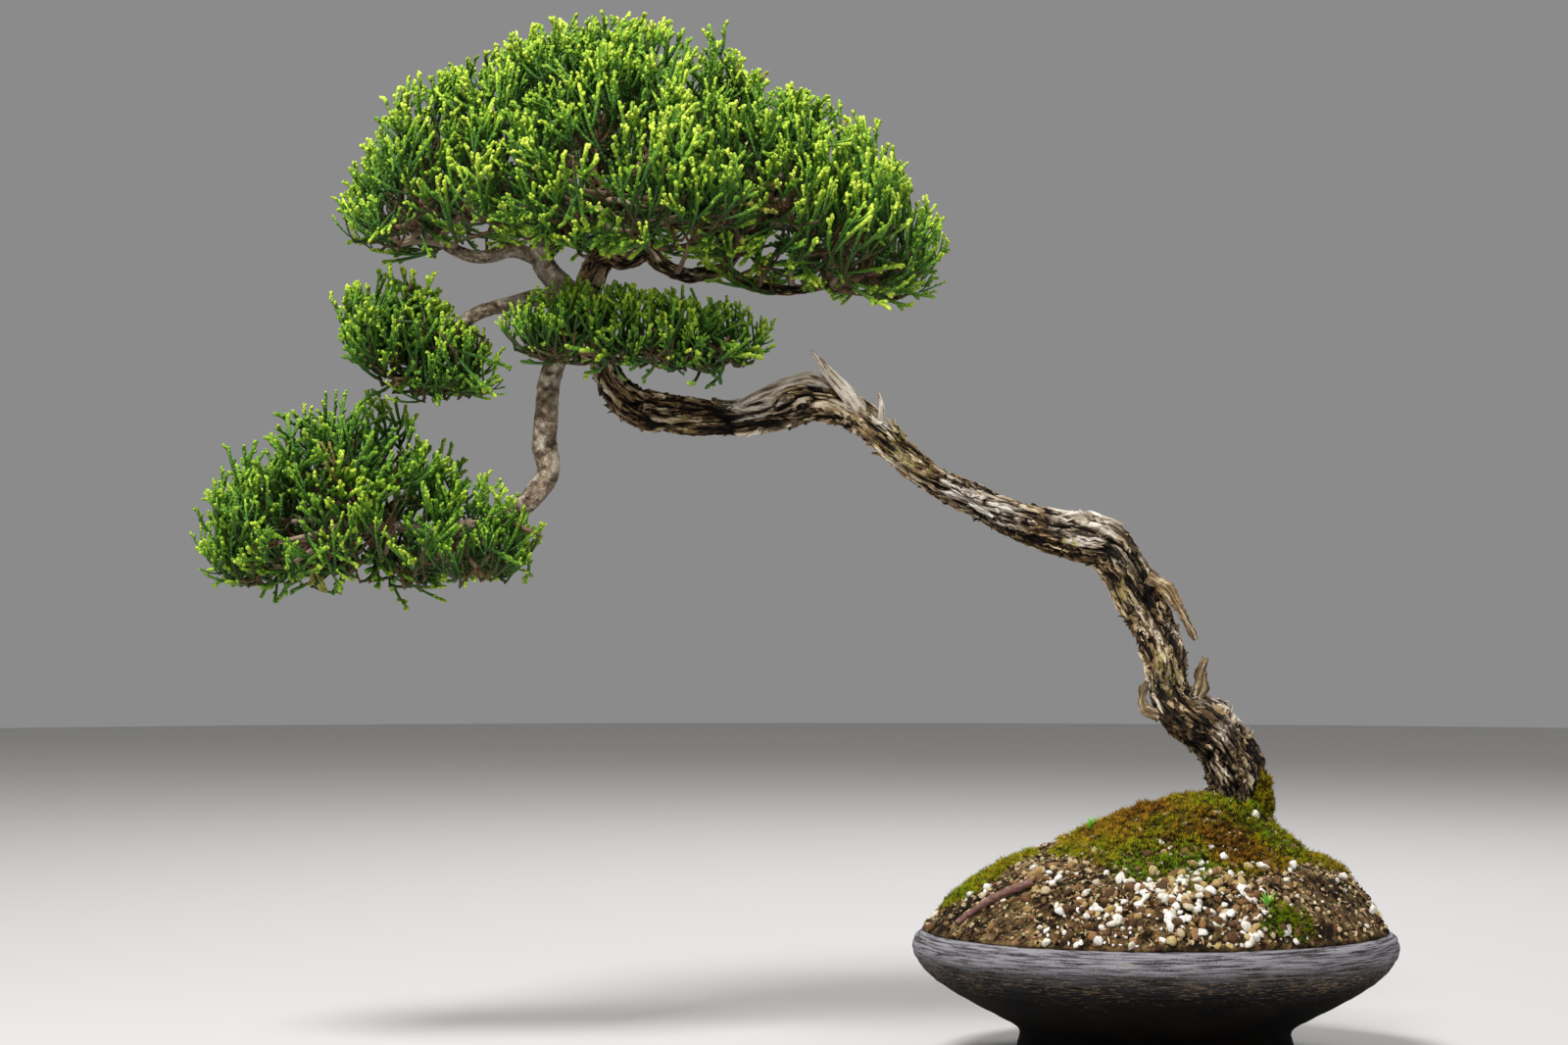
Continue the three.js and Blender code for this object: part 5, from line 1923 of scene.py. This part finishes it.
@dataclass
class Foliage:
    """Every cloud of sprays, and the twigs that carry them."""

    kinds: int = 24
    sprays_a_fork: int = 8
    fork_share: float = 0.80
    fork_drop: float = 0.0015
    sag: float = 0.06
    twig_radii: Triple = (0.00155, 0.0012, 0.00085)
    stem_radii: Triple = (0.00070, 0.00066, 0.00072)
    twig_steps: int = 10
    stem_steps: int = 5
    upright: float = 0.93
    seed: int = 5
    spray: Spray = field(default_factory=Spray)

    def root(self, clump: Clump, spot: Array) -> Array:
        """The nearest place on the clump's limbs that is no higher than the spot."""
        off = spot - clump.limb_spots
        far = np.linalg.norm(off, axis=1) + 1.5 * np.maximum(-off[:, 2], 0)
        return clump.limb_spots[np.argmin(far)]

    def seated(self, clump: Clump, tips: Array, turns: Array, ends: Array) -> tuple[Array, Array]:
        """Each spray's foot, from its tip and its own reach, and whether that foot is inside the cloud.

        Args:
            clump: the cloud.
            tips: the sprays' tips.
            turns: the sprays' rotations.
            ends: each spray's own tip, seen from its foot.

        Returns:
            The feet, and True for each that is inside.
        """
        seats = tips - np.einsum("nij,nj->ni", turns, ends)
        return seats, clump.fullness(seats) > 0.9 * math.exp(-clump.fall)

    def twigs(self, clump: Clump, seats: Array, grow: Array, rng: Rng) -> tuple[Shape, Shape]:
        """Twigs from the limbs to every spray, through a few forks.

        Args:
            clump: the cloud they belong to.
            seats: the sprays' feet.
            grow: the way each spray grows.
            rng: the source of the forks.

        Returns:
            The woody twigs, and the leafy stems beyond the forks.
        """
        forks = max(3, len(seats) // self.sprays_a_fork)
        centres = seats[rng.choice(len(seats), forks, replace=False)]
        for _ in range(4):
            nearest = np.argmin(np.linalg.norm(seats[:, None] - centres[None], axis=2), axis=1)
            groups = [seats[nearest == number] for number in range(forks)]
            centres = np.array([own.mean(0) if len(own) else old for own, old in zip(groups, centres)])
        wood, stems = [], []
        for number, centre in enumerate(centres):
            mine = np.flatnonzero(nearest == number)
            if not len(mine):
                continue
            root = self.root(clump, centre)
            fork = root + (centre - root) * self.fork_share
            span = np.linalg.norm(fork - root)
            fork[2] -= self.fork_drop
            middle = root + (fork - root) * 0.5 + rng.normal(0, 0.07, 3) * span - UP * self.sag * span
            twig = Path.through(np.array([root, middle, fork]), np.array(self.twig_radii), self.twig_steps)
            tone = rng.uniform(0.2, 0.9) + np.linspace(0, 0.1, self.twig_steps)
            wood.append(cord(twig, 6, {"tone": tone}))
            for index in mine:
                end = seats[index] + grow[index] * 0.0012
                reach = np.linalg.norm(end - fork)
                knee = fork + (end - fork) * 0.55 - grow[index] * reach * 0.18 + rng.normal(0, 0.0008, 3)
                stem = Path.through(np.array([fork, knee, end]), np.array(self.stem_radii), self.stem_steps)
                age = np.linspace(0.0, 0.20, self.stem_steps)
                stems.append(cord(stem, 4, {"age": age, "vary": np.full(self.stem_steps, rng.random())}))
        return joined(wood), joined(stems)

    def build(self, workshop: Workshop) -> None:
        """Makes each pad's sprays and twigs."""
        rng = np.random.default_rng(self.seed)
        grown = [self.spray.grown(rng) for _ in range(self.kinds)]
        kinds = [shape for shape, _ in grown]
        ends = np.array([tip for _, tip in grown])
        for clump in CLUMPS:
            tips, grow, deep, own = clump.tips(rng)
            count = len(tips)
            sizes = rng.uniform(0.70, 1.15, count)
            steep = np.abs(grow[:, 2]) > self.upright
            spins = np.where(steep, rng.random(count) * TURN, rng.normal(0, 0.6, count))
            turns = facing(grow, spins)
            pick = rng.integers(self.kinds, size=count)
            seats, inside = self.seated(clump, tips, turns, ends[pick] * sizes[:, None])
            sizes = np.where(inside, sizes, sizes * 0.6)
            seats, inside = self.seated(clump, tips, turns, ends[pick] * sizes[:, None])
            vary = rng.random(count)
            for number, pad in enumerate(clump.pads):
                mine = np.flatnonzero((own == number) & inside)
                leaves = scattered(kinds, pick[mine], seats[mine], turns[mine], sizes[mine],
                                   {"vary": vary[mine], "deep": deep[mine]})
                # Sprays deep in the cloud get a lower age and so a darker colour: painted shade inside the
                # cloud.
                leaves.values["age"] *= clump.ripe * (1.02 - 0.62 * leaves.values.pop("deep") ** 0.8)
                wood, stems = self.twigs(clump, seats[mine], grow[mine], rng)
                sprays = joined([leaves, stems]).made(pad.node + "_sprays")
                workshop.settle(sprays, ScaleLeaf(), Slot.FOLIAGE, pad.node)
                workshop.settle(wood.made(pad.node + "_twigs"), TWIG_BARK, Slot.BARK)


# ---- small things on the soil
@dataclass
class Sprig:
    """A seedling on the soil: thin leaves that lean out from one foot."""

    node: str
    leaves: int
    seed: int
    radii: Triple = (0.00028, 0.00042, 0.00010)
    steps: int = 8

    def build(self, workshop: Workshop) -> None:
        """Makes the seedling in its CAD node's box."""
        rng = np.random.default_rng(self.seed)
        low, high = box_of(self.node)
        middle = (low + high) / 2
        foot = MOUND.points(*(middle - AXIS)[:2, None], 0.0012)[0]
        tall = high[2] - low[2]
        parts = []
        for number in range(self.leaves):
            turn = number * GOLDEN
            out = np.array([math.cos(turn), math.sin(turn), 0.0])
            lean = rng.uniform(0.35, 1.0) * (high[0] - low[0]) * 0.55
            rise = tall * rng.uniform(0.65, 1.15)
            knee = foot + out * lean * 0.35 + UP * rise * 0.6
            tip = foot + out * lean + UP * rise
            path = Path.through(np.array([foot, knee, tip]), np.array(self.radii), self.steps)
            parts.append(cord(path, 5, {"tip": np.linspace(0, 1, self.steps)}))
        workshop.settle(joined(parts).made(self.node + "_leaves"), SEEDLING, Slot.SEEDLING, self.node)


@dataclass
class FallenTwig:
    """A dead reddish twig on the left shoulder of the heap."""

    low_end: Pair = (-0.0833, -0.0400)
    high_end: Pair = (-0.0530, -0.0455)
    radii: Triple = (0.0012, 0.00155, 0.00175)
    lift: float = 0.0020
    knob_spacing: float = 12.0
    steps: int = 90
    sides: int = 18

    def build(self, workshop: Workshop) -> None:
        """Makes the twig, bent a little and knobbed, lying on the soil."""
        low, high = MOUND.points(*np.array([self.low_end, self.high_end]).T, self.lift)
        middle = (low + high) / 2 + np.array([0, -0.001, 0.0022])
        path = Path.through(np.array([low, middle, high]), np.array(self.radii), self.steps)
        down, angle = tube_grid(path.along / MM, self.sides)
        spot = on_ring(angle, down * 0.35, 1.4)
        knobs = bump(np.mod(down, self.knob_spacing), self.knob_spacing / 2, 0.8)
        swell = 1 + 0.18 * fractal(spot, 15) + 0.20 * knobs
        tone = 0.5 + 0.5 * fractal(spot * 2, 16)
        shape = capped(path.rings(path.radii[:, None] * swell, angle), {"tone": tone})
        workshop.settle(shape.made("fallen_twig_wood"), RED_ROD, Slot.TWIG, "fallen_twig")


@dataclass
class Drainage:
    """The mesh over the drain hole and the clip that holds it, whose CAD shapes are kept."""

    def build(self, workshop: Workshop) -> None:
        """Gives the two CAD nodes their finishes."""
        workshop.dress(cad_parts["drain_mesh"], Moulded())
        workshop.dress(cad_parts["mesh_clip"], Wirework())


# ---- studio
@dataclass
class Studio:
    """The floor, the light and the camera."""

    distance: float = 1.80
    framed: float = 0.6464
    sensor: float = 36.0
    aim: Pair = (-0.153, 0.2202)
    lit: Triple = (0.0, 0.0, 0.24)
    floor_colour: Colour = (0.52, 0.51, 0.50)
    surround: Colour = (0.86, 0.86, 0.86)
    glow: float = 0.30

    def floor(self) -> None:
        """A wide pale disc under the pot."""
        bpy.ops.object.select_all(action="DESELECT")
        bpy.ops.mesh.primitive_circle_add(vertices=96, radius=3.0, fill_type="NGON", location=(0, 0, 0))
        disc = bpy.context.active_object
        disc.name = "floor"
        disc.data.materials.append(Graph("Floor").finish(self.floor_colour, 0.9, specular=0.1))

    def world(self) -> None:
        """A pale, even surround."""
        world = bpy.data.worlds.new("Surround")
        world.use_nodes = True
        background = world.node_tree.nodes["Background"]
        background.inputs["Color"].default_value = (*self.surround, 1.0)
        background.inputs["Strength"].default_value = self.glow
        bpy.context.scene.world = world
        bpy.context.scene.view_settings.view_transform = "Standard"

    def lamp(self, name: str, spot: Triple, size: float, watts: float) -> None:
        """A square soft light that looks at the tree."""
        data = bpy.data.lights.new(name, "AREA")
        data.shape = "SQUARE"
        data.size = size
        data.energy = watts
        lamp = bpy.data.objects.new(name, data)
        bpy.context.collection.objects.link(lamp)
        lamp.location = spot
        way = Vector(self.lit) - Vector(spot)
        lamp.rotation_euler = way.to_track_quat("-Z", "Y").to_euler()

    def camera(self) -> None:
        """A level camera before the tree, a little left of the pot."""
        data = bpy.data.cameras.new("camera")
        data.sensor_width = self.sensor
        data.lens = self.sensor * self.distance / self.framed
        data.dof.use_dof = False
        data.clip_start = 0.05
        camera = bpy.data.objects.new("camera", data)
        bpy.context.collection.objects.link(camera)
        camera.location = (AXIS[0] + self.aim[0], AXIS[1] - self.distance, AXIS[2] + self.aim[1])
        camera.rotation_euler = (math.pi / 2, 0, 0)
        bpy.context.scene.camera = camera

    def build(self) -> None:
        """Sets everything up."""
        self.floor()
        self.world()
        self.lamp("key", (-0.60, -1.00, 1.75), 0.55, 52)
        self.lamp("fill", (1.20, -1.10, 0.90), 0.9, 5)
        self.lamp("back", (0.30, 1.10, 1.30), 0.8, 16)
        self.camera()


def main() -> None:
    """Builds the tree from the pot up."""
    logging.basicConfig(level=logging.INFO, format="%(message)s")
    workshop = Workshop()
    Studio().build()
    Pot().build(workshop)
    Drainage().build(workshop)
    Soil().build(workshop)
    for patch in MOSS_PATCHES:
        patch.build(workshop)
    Trunk().build(workshop)
    TrunkMoss().build(workshop)
    for branch in BRANCHES:
        branch.build(workshop)
    Foliage().build(workshop)
    Sprig("seedling_left", 7, 1).build(workshop)
    Sprig("seedling_front", 9, 2).build(workshop)
    FallenTwig().build(workshop)


if __name__ == "__main__":
    main()
